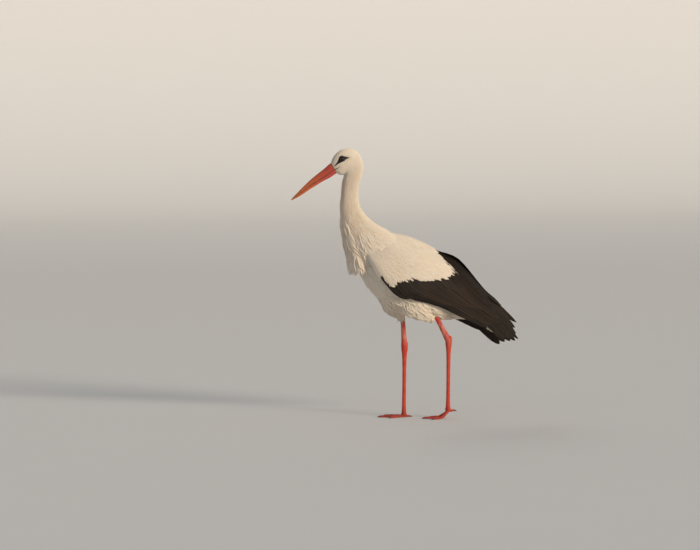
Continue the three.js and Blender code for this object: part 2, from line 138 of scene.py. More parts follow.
# The skin under the breast's hanging plumes.
RUFF = (
    Section((-172, 676), (-217, 676), 25, 2.9),
    Section((-168, 640), (-217, 642), 34, 4.0),
    Section((-158, 604), (-211, 608), 43, 4.5),
    Section((-150, 566), (-204, 570), 48, 4.8),
    Section((-146, 526), (-195, 532), 44, 4.8),
    Section((-150, 496), (-183, 500), 34, 4.2),
    Section((-160, 472), (-171, 474), 16, 2.9),
)

# Both thighs with their feathers, down to the bare shanks.
THIGHS = {
    Side.LEFT: (
        Section((98, 448), (-40, 414), 32, 5.1, 46),
        Section((98, 408), (-17, 356), 33, 5.1, 44),
        Section((92, 380), (22, 333), 27, 4.8, 39),
        Section((89, 360), (57, 324), 19, 4.0, 35),
        Section((92, 344), (71, 324), 11, 2.6, 33),
    ),
    Side.RIGHT: (
        Section((36, 450), (-90, 424), 30, 5.1, 44),
        Section((36, 396), (-74, 379), 31, 5.1, 42),
        Section((26, 362), (-57, 350), 25, 4.8, 37),
        Section((12, 345), (-35, 337), 16, 4.0, 32),
        Section((4, 336), (-20, 331), 9, 2.6, 30),
    ),
}

# Where the thighs' feathers go on below them, round the bare shanks.
THIGH_HEMS = {
    Side.LEFT: Section((106, 323), (90, 309), 11, 2.0, 32),
    Side.RIGHT: Section((6, 312), (-17, 309), 10, 2.0, 30),
}

# The ridge of the back, where the scapulars of both wings meet.
MANTLE = (
    Section((-90, 629), (-90, 589), 16, 3.5),
    Section((-49, 614), (-52, 574), 26, 3.5),
    Section((3, 603), (-4, 559), 30, 3.5),
    Section((50, 585), (40, 541), 30, 3.5),
    Section((97, 561), (84, 517), 28, 3.5),
    Section((128, 541), (114, 499), 20, 3.5),
)

# The lie of the breast's plumes: they hang straight and end free, so their sections don't close.
PLUMES = RUFF[:2] + (
    Section((-152, 604), (-211, 608), 44, 4.5),
    Section((-136, 562), (-204, 570), 51, 4.8),
    Section((-126, 522), (-195, 532), 59, 4.8),
    Section((-118, 488), (-189, 500), 62, 4.5),
    Section((-104, 448), (-181, 462), 62, 4.0),
)

# The sides of the breast, whose plumes lead over from the neck to the shoulders.
BREAST = (
    Section((-136, 675), (-217, 678), 34, 3.8),
    Section((-104, 645), (-214, 644), 44.5, 4.8),
    Section((-54, 616), (-206, 600), 61, 5.6),
    Section((-7, 586), (-193, 549), 75.5, 6.4),
    Section((32, 556), (-168, 502), 84.5, 6.4),
    Section((68, 529), (-138, 455), 87, 5.5),
)

TAIL = (
    Section((196, 384), (176, 344), 22, 6.0),
    Section((222, 360), (206, 327), 30, 6.0),
    Section((250, 334), (238, 312), 36, 5.0),
    Section((284, 306), (275, 293), 42, 3.0),
    Section((314, 284), (308, 275), 46, 2.0),
    Section((334, 268), (330, 263), 40, 1.0),
)


@dataclass(frozen=True)
class WingSection:
    """One section of the folded wing: upper and lower edge (x, y outwards, z), outward bow, thickness."""

    upper: Triple
    lower: Triple
    bow: float
    thick: float


WING = (
    WingSection((-98, 30, 612), (-134, 84, 534), 8, 5),
    WingSection((-49, 14, 608), (-101, 97, 483), 24, 15),
    WingSection((3, 3, 595), (-65, 101, 439), 33, 20),
    WingSection((50, 2, 576), (-28, 102, 410), 35, 22),
    WingSection((97, 2, 551), (13, 99, 400), 34, 21),
    WingSection((137, 2, 531), (56, 93, 395), 31, 19),
    WingSection((171, 2, 511), (95, 86, 383), 27, 17),
    WingSection((204, 2, 482), (137, 78, 369), 23, 15),
    WingSection((236, 2, 448), (179, 69, 350), 18, 12),
    WingSection((269, 3, 412), (222, 60, 332), 14, 10),
    WingSection((299, 5, 389), (261, 50, 309), 10, 7),
    WingSection((322, 8, 369), (296, 40, 287), 7, 4.5),
)
# The right wing is folded more loosely: its upper edge humps up, its lower edge hangs lower.
HUMP_HEIGHT, HUMP_STATION, HUMP_WIDTH = 9.0, 6.0, 1.3
DROOP, DROOP_FROM, DROOP_FULL = 17.0, 5.0, 9.0

# Where white coverts and scapulars end on the black flight feathers (x, z).
WHITE_EDGE = (
    (-200, 438), (-55, 438), (-41, 456), (3, 460), (68, 460), (126, 462), (175, 471), (140, 510),
    (100, 551), (92, 640), (-200, 640),
)

# Free tips of the longest flight feathers: root and tip (x, y outwards, z), and width.
PRIMARIES = (
    ((262, 12, 402), (373, 12, 312), 17),
    ((262, 22, 385), (366, 17, 286), 26),
    ((258, 31, 366), (376, 22, 258), 24),
    ((252, 40, 350), (351, 27, 262), 27),
    ((246, 49, 334), (326, 33, 256), 28),
)


# ------------------------------------------------------------------ frame and small helpers
def row_shift() -> Array:
    """Finds how far the bird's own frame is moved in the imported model, from its left eye.

    Returns:
        The shift in millimetres.
    """
    low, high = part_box("eye_left")
    middle = (np.array(low) + np.array(high)) / 2 / MM
    return middle - np.array([EYE_X, EYE_Y * Side.LEFT.value, EYE_Z])


SHIFT = row_shift()


def placed(points: Array) -> Array:
    """Moves points from the bird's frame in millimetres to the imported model's frame in metres."""
    return (np.asarray(points, float) + SHIFT) * MM


def place(point: Sequence[float]) -> Vector:
    """Moves one point as placed does."""
    return Vector(placed(np.array(point, float)))


def unit(vectors: Array) -> Array:
    """Scales vectors to length one."""
    return vectors / np.maximum(np.linalg.norm(vectors, axis=-1, keepdims=True), 1e-9)


def smooth_run(values: Array, at: Array) -> Array:
    """Reads a Catmull-Rom curve through rows of values.

    Args:
        values: one row for each station.
        at: fractional station numbers; past both ends the curve goes on straight.

    Returns:
        One row of values for each entry of at.
    """
    last = len(values) - 1
    padded = np.vstack([2 * values[0] - values[1], values, 2 * values[-1] - values[-2]])
    inside = np.clip(at, 0, last)
    row = np.clip(np.floor(inside).astype(int), 0, last - 1)
    f = (inside - row)[..., None]
    p0, p1, p2, p3 = (padded[row + k] for k in range(4))
    curve = 0.5 * (
        2 * p1
        + (p2 - p0) * f
        + (2 * p0 - 5 * p1 + 4 * p2 - p3) * f**2
        + (3 * p1 - p0 - 3 * p2 + p3) * f**3
    )
    ahead = np.where((at < 0)[..., None], values[1] - values[0], values[-1] - values[-2])
    return curve + (at - inside)[..., None] * ahead


def inside_outline(x: Array, z: Array, outline: Sequence[Pair]) -> Array:
    """Tells which points lie inside a closed outline in the side view.

    Args:
        x: X of each point.
        z: Z of each point.
        outline: the corners in order.

    Returns:
        True for each point inside.
    """
    inside = np.zeros(np.shape(x), bool)
    corners = np.array(outline, float)
    for (x1, z1), (x2, z2) in zip(corners, np.roll(corners, -1, axis=0)):
        crosses = (z1 > z) != (z2 > z)
        at = x1 + (z - z1) * (x2 - x1) / np.where(z2 == z1, 1e-9, z2 - z1)
        inside ^= crosses & (x < at)
    return inside


def capsule_depth(x: Array, z: Array, start: Sequence[float], end: Sequence[float]) -> Array:
    """Signed distance to a tapered stroke in the side view, negative inside.

    Args:
        x: X of each point.
        z: Z of each point.
        start: X, Z and radius at one end.
        end: X, Z and radius at the other.

    Returns:
        The distance in millimetres.
    """
    along = np.array(end[:2], float) - np.array(start[:2], float)
    share = ((x - start[0]) * along[0] + (z - start[1]) * along[1]) / float(along @ along)
    share = np.clip(share, 0, 1)
    gap = np.hypot(x - start[0] - share * along[0], z - start[1] - share * along[1])
    return gap - (start[2] + share * (end[2] - start[2]))


# Strokes of the bare black skin: behind the eye, round it, over the lore and along the gape's corner.
BARE_STROKES = (
    ((-209, 859, 7.0), (-191, 862, 0.7)),
    ((-215, 857, 10.6), (-226, 846, 4.2)),
    ((-225, 847, 3.8), (-238, 834, 1.3)),
    ((-237, 822, 1.8), (-221, 831, 0.7)),
)


def bare_face(x: Array, z: Array) -> Array:
    """Signed distance to the bare black skin round the eye and over the lore, negative on it."""
    depths = [capsule_depth(x, z, start, end) for start, end in BARE_STROKES]
    return np.minimum.reduce(depths)


# ------------------------------------------------------------------ surfaces that feathers lie on
class Surface:
    """A smooth form read by two numbers: u along the lie of the feathers, v across it."""

    turn = 1.0
    STEP = 0.02
    LEAST_ALONG, LEAST_ACROSS = 4.0, 2.0

    def point(self, u: Array, v: Array) -> Array:
        """The point at u, v in millimetres."""
        raise NotImplementedError

    def spans(self, u: Array, v: Array) -> tuple[Array, Array, Array]:
        """Measures the surface at u, v.

        Args:
            u: places along.
            v: places across.

        Returns:
            Millimetres for one step of u, the same for v, and the outward normals.
        """
        step = self.STEP
        along = (self.point(u + step, v) - self.point(u - step, v)) / (2 * step)
        across = (self.point(u, v + step) - self.point(u, v - step)) / (2 * step)
        outward = unit(np.cross(along, across)) * self.turn
        along_mm = np.maximum(np.linalg.norm(along, axis=-1), self.LEAST_ALONG)
        across_mm = np.maximum(np.linalg.norm(across, axis=-1), self.LEAST_ACROSS)
        return along_mm, across_mm, outward


class Loft(Surface):
    """A body form run through sections. u counts sections and v is the angle round them."""

    turn = -1.0

    def __init__(self, sections: Sequence[Section], side: int = 0) -> None:
        """Reads the sections.

        Args:
            sections: from front to back, or from top to bottom.
            side: sign of Y for a form beside the midline.
        """
        self.count = len(sections)
        self.tops = np.array([s.top for s in sections], float)
        self.bottoms = np.array([s.bottom for s in sections], float)
        self.widths = np.array([(s.half, s.coat, s.y * side) for s in sections], float)

    def middle(self, u: Array) -> tuple[Array, Array, Array]:
        """Reads a section: its middle, the vector up to its top and its width row."""
        top = smooth_run(self.tops, u)
        bottom = smooth_run(self.bottoms, u)
        return (top + bottom) / 2, (top - bottom) / 2, smooth_run(self.widths, u)

    def coat(self, u: Array) -> Array:
        """Depth of the coat at u."""
        return np.maximum(smooth_run(self.widths, u)[..., 1], LEAST_COAT)

    def point(self, u: Array, v: Array) -> Array:
        """The point of the skin under the coat."""
        u, v = np.broadcast_arrays(np.asarray(u, float), np.asarray(v, float))
        middle, up, row = self.middle(u)
        depth = np.maximum(row[..., 1], LEAST_COAT)
        tall = np.linalg.norm(up, axis=-1)
        rise = np.maximum(tall - depth, 1.0) * np.sin(v) / np.maximum(tall, 1e-6)
        wide = np.maximum(row[..., 0] - depth, 1.0) * np.cos(v)
        x = middle[..., 0] + up[..., 0] * rise
        z = middle[..., 1] + up[..., 1] * rise
        return np.stack([x, row[..., 2] + wide, z], axis=-1)


WING_COAT = 5.0  # how deep the feathers lie over the folded wing's own surface
FRONT_TUCK, LOWER_TUCK = 13.0, 9.0  # how far the wing's front and lower edges round in to the body
FRONT_END, LOWER_START, LOWER_SPAN = 0.7, 0.86, 0.16  # where those edges begin to round in
TUCK_FROM, TUCK_GONE = 5.0, 8.0  # the sections over which the lower edge's rounding fades out
MOST_TUCK = 1.2


class WingSurface(Surface):
    """The outer face of a folded wing. u counts sections and v runs from upper edge to lower edge."""

    def __init__(self, side: Side) -> None:
        """Reads the wing's sections for one side."""
        self.turn = float(side.value)
        count = np.arange(len(WING))
        loose = 1.0 if side is Side.RIGHT else 0.0
        lift = loose * HUMP_HEIGHT * np.exp(-(((count - HUMP_STATION) / HUMP_WIDTH) ** 2))
        ramp = np.clip((count - DROOP_FROM) / (DROOP_FULL - DROOP_FROM), 0, 1)
        droop = loose * DROOP * ramp**2 * (3 - 2 * ramp)
        mirror = np.array([1.0, side.value, 1.0])
        self.uppers = np.array([w.upper for w in WING], float) * mirror
        self.lowers = np.array([w.lower for w in WING], float) * mirror
        self.uppers[:, 2] += lift
        self.lowers[:, 2] -= droop
        self.forms = np.array([(w.bow, w.thick / 2) for w in WING], float)

    def outward(self, u: Array) -> Array:
        """The way that a section faces."""
        ahead = 0.22
        near = np.clip(u, 0, len(WING) - 1 - ahead)
        back = smooth_run(self.uppers, near + ahead) - smooth_run(self.uppers, near)
        chord = smooth_run(self.lowers, u) - smooth_run(self.uppers, u)
        facing = unit(np.cross(back, chord))
        return facing * np.where(facing[..., 1:2] * self.turn < 0, -1.0, 1.0)

    def point(self, u: Array, v: Array) -> Array:
        """The point of the wing under its coat."""
        u, v = np.broadcast_arrays(np.asarray(u, float), np.asarray(v, float))
        upper = smooth_run(self.uppers, u)
        chord = smooth_run(self.lowers, u) - upper
        form = smooth_run(self.forms, u)
        parabola = v * (1 - v)
        half = np.maximum(form[..., 1] - WING_COAT, 0.4)
        lift = form[..., 0] * 4 * parabola + half * 2 * np.sqrt(np.maximum(parabola, 0))
        front = FRONT_TUCK * np.clip(FRONT_END - u, 0, MOST_TUCK) ** 2
        lower = LOWER_TUCK * np.clip((v - LOWER_START) / LOWER_SPAN, 0, MOST_TUCK) ** 2
        tuck = front + lower * np.clip((TUCK_GONE - u) / (TUCK_GONE - TUCK_FROM), 0, 1)
        point = upper + chord * v[..., None] + self.outward(u) * lift[..., None]
        point[..., 1] -= self.turn * tuck
        return point


# ------------------------------------------------------------------ feathers as joined meshes
class VaneShape(Enum):
    """Outlines of a feather: rows of (share of length, share of half width) and the columns across."""

    FACE = (((0, 0.5), (0.45, 1.0), (1.0, 0.12)), (-1, 0, 1))
    HACKLE = (((0, 0.45), (0.3, 0.95), (0.62, 0.85), (0.86, 0.45), (1.0, 0.06)), (-1, 0, 1))
    PLUME = (
        ((0, 0.45), (0.2, 0.85), (0.42, 1.0), (0.64, 0.86), (0.82, 0.56), (0.94, 0.28), (1.0, 0.05)),
        (-1, 0, 1),
    )
    CONTOUR = (((0, 0.4), (0.3, 0.9), (0.6, 1.0), (0.84, 0.74), (0.95, 0.4), (1.0, 0.08)), (-1, 0, 1))
    QUILL = (
        (
            (0, 0.25), (0.08, 0.5), (0.18, 0.8), (0.3, 0.95), (0.42, 1.0), (0.54, 1.0), (0.66, 0.97),
            (0.77, 0.9), (0.86, 0.77), (0.93, 0.57), (0.975, 0.33), (1.0, 0.08),
        ),
        (-1, -0.66, -0.3, -0.04, 0.04, 0.3, 0.66, 1),
    )

    @property
    def rows(self) -> Array:
        """Shares of the length and of the half width."""
        return np.array(self.value[0], float)

    @property
    def columns(self) -> Array:
        """Shares of the half width, from one edge to the other."""
        return np.array(self.value[1], float)

    def faces(self) -> list[list[int]]:
        """Builds the closed vane: its upper face in quads, its flat underside and its two ends.

        Returns:
            The corner numbers of each face, counterclockwise from outside.
        """
        rows, columns = len(self.rows), len(self.columns)
        made = []
        for i in range(rows - 1):
            here, ahead = i * columns, (i + 1) * columns
            for k in range(columns - 1):
                made.append([here + k, ahead + k, ahead + k + 1, here + k + 1])
            made.append([here, here + columns - 1, ahead + columns - 1, ahead])
        made.append(list(range(columns)))
        made.append(list(range((rows - 1) * columns, rows * columns))[::-1])
        return made


@dataclass
class Roots:
    """Where feathers grow and how each one is made. Every field has one entry for each feather.

    Attributes:
        u: place along the surface.
        v: place across the surface.
        yaw: turn away from the lie, in radians.
        length: length in millimetres.
        width: full width in millimetres.
        depth: how far the tip stands over the skin.
        base: how far the root stands over the skin.
        tone: a number from 0 to 1 for the feather's own shade.
    """

    u: Array
    v: Array
    yaw: Array
    length: Array
    width: Array
    depth: Array
    base: Array
    tone: Array

    def keep(self, mask: Array) -> "Roots":
        """The feathers for which mask is true."""
        return Roots(**{name: values[mask] for name, values in vars(self).items()})


@dataclass
class Batch:
    """Feathers of one outline, ready to join.

    Attributes:
        shape: their outline.
        points: feather by corner by X, Y, Z, in millimetres.
        tone: one number for each feather.
        place: where each root lies on the unwrap, from 0 to 1.
        patch: side of a feather's own square on the unwrap.
    """

    shape: VaneShape
    points: Array
    tone: Array
    place: Array
    patch: float = 0.003


RIDGE = 0.06  # height of a feather's middle over its edges, as a share of its width
HUG = 0.28  # how far a feather's edges sink to the ones below, as a share of its height
PLUME_HUG = 0.182  # the same for long plumes


def profile_height(share: Array, depth: Array, base: Array) -> Array:
    """Height over the skin along a feather: it leaves the skin and levels out towards its tip."""
    return base + (depth - base) * (1 - (1 - share) ** 3)


def lay(surface: Surface, shape: VaneShape, roots: Roots, unwrap: Callable[[Array, Array], Array]) -> Batch:
    """Lays feathers along a surface, each bent to follow it.

    Args:
        surface: what they lie on.
        shape: their outline.
        roots: where they grow.
        unwrap: turns u and v into a place on the unwrap.

    Returns:
        The feathers.
    """
    u, v = roots.u.copy(), roots.v.copy()
    cos, sin = np.cos(roots.yaw), np.sin(roots.yaw)
    rows, columns = shape.rows, shape.columns
    points = np.empty((len(u), len(rows), len(columns), 3))
    walked = 0.0
    hug = PLUME_HUG if shape is VaneShape.PLUME else HUG
    for i, (share, breadth) in enumerate(rows):
        step = (share - walked) * roots.length / 2
        for _ in range(2):
            along_mm, across_mm, _outward = surface.spans(u, v)
            u = u + cos * step / along_mm
            v = v + surface.turn * sin * step / across_mm
        walked = share
        along_mm, across_mm, outward = surface.spans(u, v)
        height = profile_height(share, roots.depth, roots.base)
        for k, column in enumerate(columns):
            off = column * breadth * roots.width / 2
            place_u = u - sin * off / along_mm
            place_v = v + surface.turn * cos * off / across_mm
            rise = height * (1 - hug * column**2) + RIDGE * roots.width * breadth * (1 - column**2)
            points[:, i, k] = surface.point(place_u, place_v) + outward * rise[:, None]
    return Batch(shape, points.reshape(len(u), -1, 3), roots.tone, unwrap(roots.u, roots.v))


@dataclass
class Quills:
    """Long feathers given by where they run.

    Attributes:
        lines: feather by point by X, Y, Z, evenly spaced from root to tip.
        outward: the way that each point's upper face looks.
        width: full width of each.
        tone: shade of each.
        place: where each root lies on the unwrap.
        tilt: how far each leans over the next one, towards -1 or +1 of its width.
    """

    lines: Array
    outward: Array
    width: Array
    tone: Array
    place: Array
    tilt: float = 0.0


VANE_THICK, RACHIS = 0.6, 0.5  # height of a long feather's middle over its edges, and its shaft's over that


def stretch(quills: Quills, camber: float = 0.07, patch: float = 0.012) -> Batch:
    """Builds long feathers along their lines.

    Args:
        quills: the feathers.
        camber: how much the edges turn down, as a share of the width.
        patch: side of a feather's own square on the unwrap.

    Returns:
        The feathers.
    """
    shape = VaneShape.QUILL
    rows, columns = shape.rows, shape.columns
    count = quills.lines.shape[1]
    at = rows[:, 0] * (count - 1)
    low = np.clip(np.floor(at).astype(int), 0, count - 2)
    mix = (at - low)[None, :, None]
    centre = quills.lines[:, low] * (1 - mix) + quills.lines[:, low + 1] * mix
    facing = unit(quills.outward[:, low] * (1 - mix) + quills.outward[:, low + 1] * mix)
    along = unit(np.gradient(centre, axis=1))
    facing = facing + quills.tilt * unit(np.cross(facing, along))
    across = unit(np.cross(facing, along))
    facing = unit(np.cross(along, across))
    half = quills.width[:, None] * rows[None, :, 1] / 2
    points = np.empty((len(centre), len(rows), len(columns), 3))
    for k, column in enumerate(columns):
        rachis = RACHIS if abs(column) < 0.1 else 0.0
        sag = -camber * half * column**2 * 2 + (VANE_THICK + rachis) * (1 - abs(column))
        shifted = centre + across * (half * column)[..., None]
        points[:, :, k] = shifted + facing * sag[..., None]
    return Batch(shape, points.reshape(len(centre), -1, 3), quills.tone, quills.place, patch)


def new_object(name: str, data: bpy.types.ID) -> Piece:
    """Adds an object with the given data to the scene."""
    made = bpy.data.objects.new(name, data)
    bpy.context.scene.collection.objects.link(made)
    return made


def join_feathers(name: str, batches: Sequence[Batch]) -> Piece:
    """Joins feathers into one mesh, with their shade, their own coordinates and their unwrap.

    Args:
        name: the piece's name.
        batches: the feathers.

    Returns:
        The new object.
    """
    points, corners, starts, sheets = [], [], [], []
    along, across, tone = [], [], []
    first_point = first_corner = 0
    for batch in batches:
        count, size = batch.points.shape[:2]
        if not count:
            continue
        faces = batch.shape.faces()
        loop = np.concatenate([np.array(face) for face in faces])
        start = np.cumsum([0] + [len(face) for face in faces[:-1]])
        shares = np.repeat(batch.shape.rows[:, 0], len(batch.shape.columns))
        sides = np.tile(batch.shape.columns, len(batch.shape.rows))
        offset = np.arange(count)[:, None]
        corners.append((loop[None] + offset * size + first_point).ravel())
        starts.append((start[None] + offset * len(loop) + first_corner).ravel())
        own = np.stack([sides / 2, shares - 0.5], axis=-1) * batch.patch
        sheets.append((batch.place[:, None] + own[loop][None]).reshape(-1, 2))
        points.append(placed(batch.points).reshape(-1, 3))
        along.append(np.tile(shares, count))
        across.append(np.tile(sides, count))
        tone.append(np.repeat(batch.tone, size))
        first_point += count * size
        first_corner += count * len(loop)
    mesh = bpy.data.meshes.new(name)
    mesh.vertices.add(first_point)
    mesh.vertices.foreach_set("co", np.concatenate(points).astype(np.float32).ravel())
    mesh.loops.add(first_corner)
    mesh.loops.foreach_set("vertex_index", np.concatenate(corners).astype(np.int32))
    all_starts = np.concatenate(starts).astype(np.int32)
    mesh.polygons.add(len(all_starts))
    mesh.polygons.foreach_set("loop_start", all_starts)
    mesh.update(calc_edges=True)
    for label, values in (("along", along), ("across", across), ("tone", tone)):
        layer = mesh.attributes.new(label, "FLOAT", "POINT")
        layer.data.foreach_set("value", np.concatenate(values).astype(np.float32))
    sheet = mesh.uv_layers.new(name="OFBake")
    sheet.data.foreach_set("uv", np.clip(np.concatenate(sheets), 0, 1).astype(np.float32).ravel())
    mesh.polygons.foreach_set("use_smooth", np.ones(len(all_starts), bool))
    mesh.set_sharp_from_angle(angle=math.radians(48))
    return new_object(name, mesh)


@dataclass(frozen=True)
class FeatherSizes:
    """Sizes of the feathers over a form, read by station on its back and on its front.

    Attributes:
        stations: where the sizes are given.
        back: feather lengths on the upper side.
        front: feather lengths on the lower side.
        slim: width as a share of length.
        pitch: row spacing as a share of length.
        cover: spacing across as a share of width.
        seat: how high the roots sit, as a share of the coat's depth.
    """

    stations: tuple[float, ...]
    back: tuple[float, ...]
    front: tuple[float, ...]
    slim: tuple[float, ...]
    pitch: float = 0.3
    cover: float = 0.62
    seat: float = 0.5

    def read(self, u: Array, v: Array) -> tuple[Array, Array]:
        """Length and width of the feathers at u, v."""
        back = np.interp(u, self.stations, self.back)
        front = np.interp(u, self.stations, self.front)
        share = (1 + np.sin(v)) / 2
        length = front + (back - front) * share
        return length, length * np.interp(u, self.stations, self.slim)


def staggered(
    run: Array, density: Array, row: int, least: int, rng: np.random.Generator
) -> tuple[Array, Array]:
    """Counts the places that a row of feathers needs and draws how far along the row each one lies.

    Args:
        run: fine steps across the row.
        density: feathers for one unit of run at each step.
        row: the row's number; every other row is moved by half a place.
        least: fewest places.
        rng: source of the small irregularities.

    Returns:
        The running total of feathers at each step and each place's share of the row.
    """
    total = np.concatenate([[0], np.cumsum((density[1:] + density[:-1]) / 2 * np.diff(run))])
    count = max(least, int(total[-1]))
    share = (np.arange(count) + 0.5 * (row % 2) + rng.uniform(-0.3, 0.3, count)) / count
    return total, share


def rows_round(loft: Loft, start: float, stop: float, sizes: FeatherSizes, rng: np.random.Generator) -> Roots:
    """Spreads roots over a form in staggered rows, as densely as the feathers there need.

    Args:
        loft: the form.
        start: first station.
        stop: last station.
        sizes: the feathers' sizes.
        rng: source of the small irregularities.

    Returns:
        The roots.
    """
    ring = np.linspace(-np.pi / 2, 1.5 * np.pi, 181)
    found_u, found_v = [], []
    u, row = start, 0
    while u < stop:
        along_mm, across_mm, _outward = loft.spans(np.full_like(ring, u), ring)
        length, width = sizes.read(np.full_like(ring, u), ring)
        steps = length * sizes.pitch / along_mm
        total, share = staggered(ring, across_mm / (width * sizes.cover), row, 6, rng)
        angle = np.interp((share % 1.0) * total[-1], total, ring)
        step = float(steps.min())
        chance = step / np.interp(angle, ring, steps)
        kept = rng.random(len(share)) < chance
        found_v.append(angle[kept])
        found_u.append(u + rng.uniform(-0.5, 0.5, int(kept.sum())) * step)
        u += step
        row += 1
    u_all, v_all = np.concatenate(found_u), np.concatenate(found_v)
    length, width = sizes.read(u_all, v_all)
    count = len(u_all)
    grow = rng.uniform(0.86, 1.14, count)
    depth = loft.coat(u_all) * rng.uniform(0.93, 1.04, count)
    return Roots(
        u_all, v_all, rng.normal(0, 0.11, count), length * grow, width * rng.uniform(0.85, 1.15, count),
        depth, depth * sizes.seat, rng.random(count),
    )


def unwrapped(first: Array, second: Array, margin: float) -> Array:
    """Places two shares on the unwrap, clear of the square's edge by a margin."""
    shares = np.stack([np.clip(first, 0, 1), np.clip(second, 0, 1)], axis=-1)
    return margin + (1 - 2 * margin) * shares


def round_unwrap(loft: Loft) -> Callable[[Array, Array], Array]:
    """Unwraps a form by station and angle."""
    return lambda u, v: unwrapped(((v + np.pi / 2) / (2 * np.pi)) % 1.0, u / (loft.count - 1), 0.02)


def wing_unwrap(u: Array, v: Array) -> Array:
    """Unwraps a wing by section and by its way from upper to lower edge."""
    return unwrapped(v, u / (len(WING) - 1), 0.04)


# ------------------------------------------------------------------ modelling by hand
def activate(piece: Piece) -> None:
    """Selects one object alone and makes it active."""
    bpy.ops.object.select_all(action="DESELECT")
    piece.select_set(True)
    bpy.context.view_layer.objects.active = piece


def apply_modifier(piece: Piece, kind: str, **settings: object) -> None:
    """Adds a modifier and applies it.

    Args:
        piece: the object.
        kind: the modifier's type.
        **settings: its properties.
    """
    activate(piece)
    modifier = piece.modifiers.new(kind.lower(), kind)
    for key, value in settings.items():
        setattr(modifier, key, value)
    bpy.ops.object.modifier_apply(modifier=modifier.name)


@dataclass(frozen=True)
class Ring:
    """A ring of a loft: its middle, its two half axes, in millimetres."""

    centre: Triple
    first: Triple
    second: Triple

    def shrunk(self, share: float) -> "Ring":
        """The same ring with shorter half axes."""
        return Ring(self.centre, tuple(share * n for n in self.first), tuple(share * n for n in self.second))


def loft_rings(name: str, rings: Sequence[Ring], corners: int) -> Piece:
    """Adds rings in edit mode, bridges each to the next and closes both ends.

    Args:
        name: the object's name.
        rings: in order.
        corners: points on each ring.

    Returns:
        A closed mesh object at the origin.
    """
    made = new_object(name, bpy.data.meshes.new(name))
    activate(made)
    bpy.ops.object.mode_set(mode="EDIT")
    for ring in rings:
        first, second = Vector(ring.first), Vector(ring.second)
        axes = Matrix((first.normalized(), second.normalized(), first.cross(second).normalized()))
        bpy.ops.mesh.select_all(action="DESELECT")
        bpy.ops.mesh.primitive_circle_add(
            vertices=corners, radius=first.length * MM, location=place(ring.centre),
            rotation=axes.transposed().to_euler(),
        )
    bpy.ops.mesh.select_mode(type="VERT")
    for i in range(len(rings) - 1):
        select_rings(made, corners, (i, i + 1))
        bpy.ops.mesh.bridge_edge_loops()
    for i in (0, len(rings) - 1):
        select_rings(made, corners, (i,))
        bpy.ops.mesh.edge_face_add()
    bpy.ops.mesh.select_all(action="SELECT")
    bpy.ops.object.mode_set(mode="OBJECT")
    angle = np.arange(corners)[:, None] * 2 * np.pi / corners
    rows = []
    for ring in rings:
        centre, first, second = np.array(ring.centre), np.array(ring.first), np.array(ring.second)
        rows.append(centre - first * np.sin(angle) + second * np.cos(angle))
    set_vertices(made, np.concatenate(rows))
    tidy_normals(made)
    return made


def select_rings(piece: Piece, corners: int, wanted: Sequence[int]) -> None:
    """Selects whole rings of a loft in edit mode, by their number."""
    form = bmesh.from_edit_mesh(piece.data)
    form.verts.ensure_lookup_table()
    for face in form.faces:
        face.select = False
    for edge in form.edges:
        edge.select = False
    for vertex in form.verts:
        vertex.select = vertex.index // corners in wanted
    form.select_flush_mode()
    bmesh.update_edit_mesh(piece.data)


def body_rings(loft: Loft, stations: Array) -> list[Ring]:
    """Rings of a body form at the given stations, on its skin."""
    rings = []
    for u in stations:
        middle, up, row = loft.middle(np.array(u))
        tall = float(np.linalg.norm(up))
        depth = max(float(row[1]), LEAST_COAT)
        rise = up / max(tall, 1e-6) * max(tall - depth, 1.0)
        wide = max(float(row[0]) - depth, 1.0)
        rings.append(Ring((middle[0], row[2], middle[1]), (rise[0], 0, rise[1]), (0, wide, 0)))
    return rings


def add_grid(name: str, across: int, along: int) -> tuple[Piece, Array, Array]:
    """Adds a grid one unit wide and gives it with the X and Y of its vertices."""
    bpy.ops.object.select_all(action="DESELECT")
    bpy.ops.mesh.primitive_grid_add(x_subdivisions=across, y_subdivisions=along, size=1)
    made = bpy.context.active_object
    made.name = name
    flat = np.array([v.co[:2] for v in made.data.vertices])
    return made, flat[:, 0], flat[:, 1]


def combine(base: Piece, other: Piece, operation: str = "UNION") -> None:
    """Joins a form into the base, or cuts it away."""
    apply_modifier(base, "BOOLEAN", operation=operation, object=other, solver="EXACT")
    bpy.data.objects.remove(other)


def turn_ball(ball: Piece, middle: Sequence[float], angle: float, axis: str, there: Sequence[float]) -> None:
    """Turns a ball's mesh round its middle and moves it to another place."""
    ball.data.transform(Matrix.Translation(-place(middle)))
    ball.data.transform(Matrix.Rotation(angle, 4, axis))
    ball.data.transform(Matrix.Translation(place(there)))


def tidy_normals(piece: Piece) -> None:
    """Turns all normals of a closed piece outwards."""
    activate(piece)
    bpy.ops.object.mode_set(mode="EDIT")
    bpy.ops.mesh.select_all(action="SELECT")
    bpy.ops.mesh.normals_make_consistent(inside=False)
    bpy.ops.object.mode_set(mode="OBJECT")


def join_pieces(pieces: Sequence[Piece], name: str) -> Piece:
    """Joins objects into the first one."""
    activate(pieces[0])
    for piece in pieces:
        piece.select_set(True)
    bpy.ops.object.join()
    pieces[0].name = name
    pieces[0].data.name = name
    return pieces[0]


def add_ball(name: str, centre: Sequence[float], radii: Sequence[float]) -> Piece:
    """Adds an ellipsoid whose place and size are in its mesh."""
    bpy.ops.object.select_all(action="DESELECT")
    bpy.ops.mesh.primitive_uv_sphere_add(segments=32, ring_count=20, radius=1)
    made = bpy.context.active_object
    made.name = name
    made.data.transform(Matrix.Diagonal((*[r * MM for r in radii], 1)))
    made.data.transform(Matrix.Translation(place(centre)))
    return made


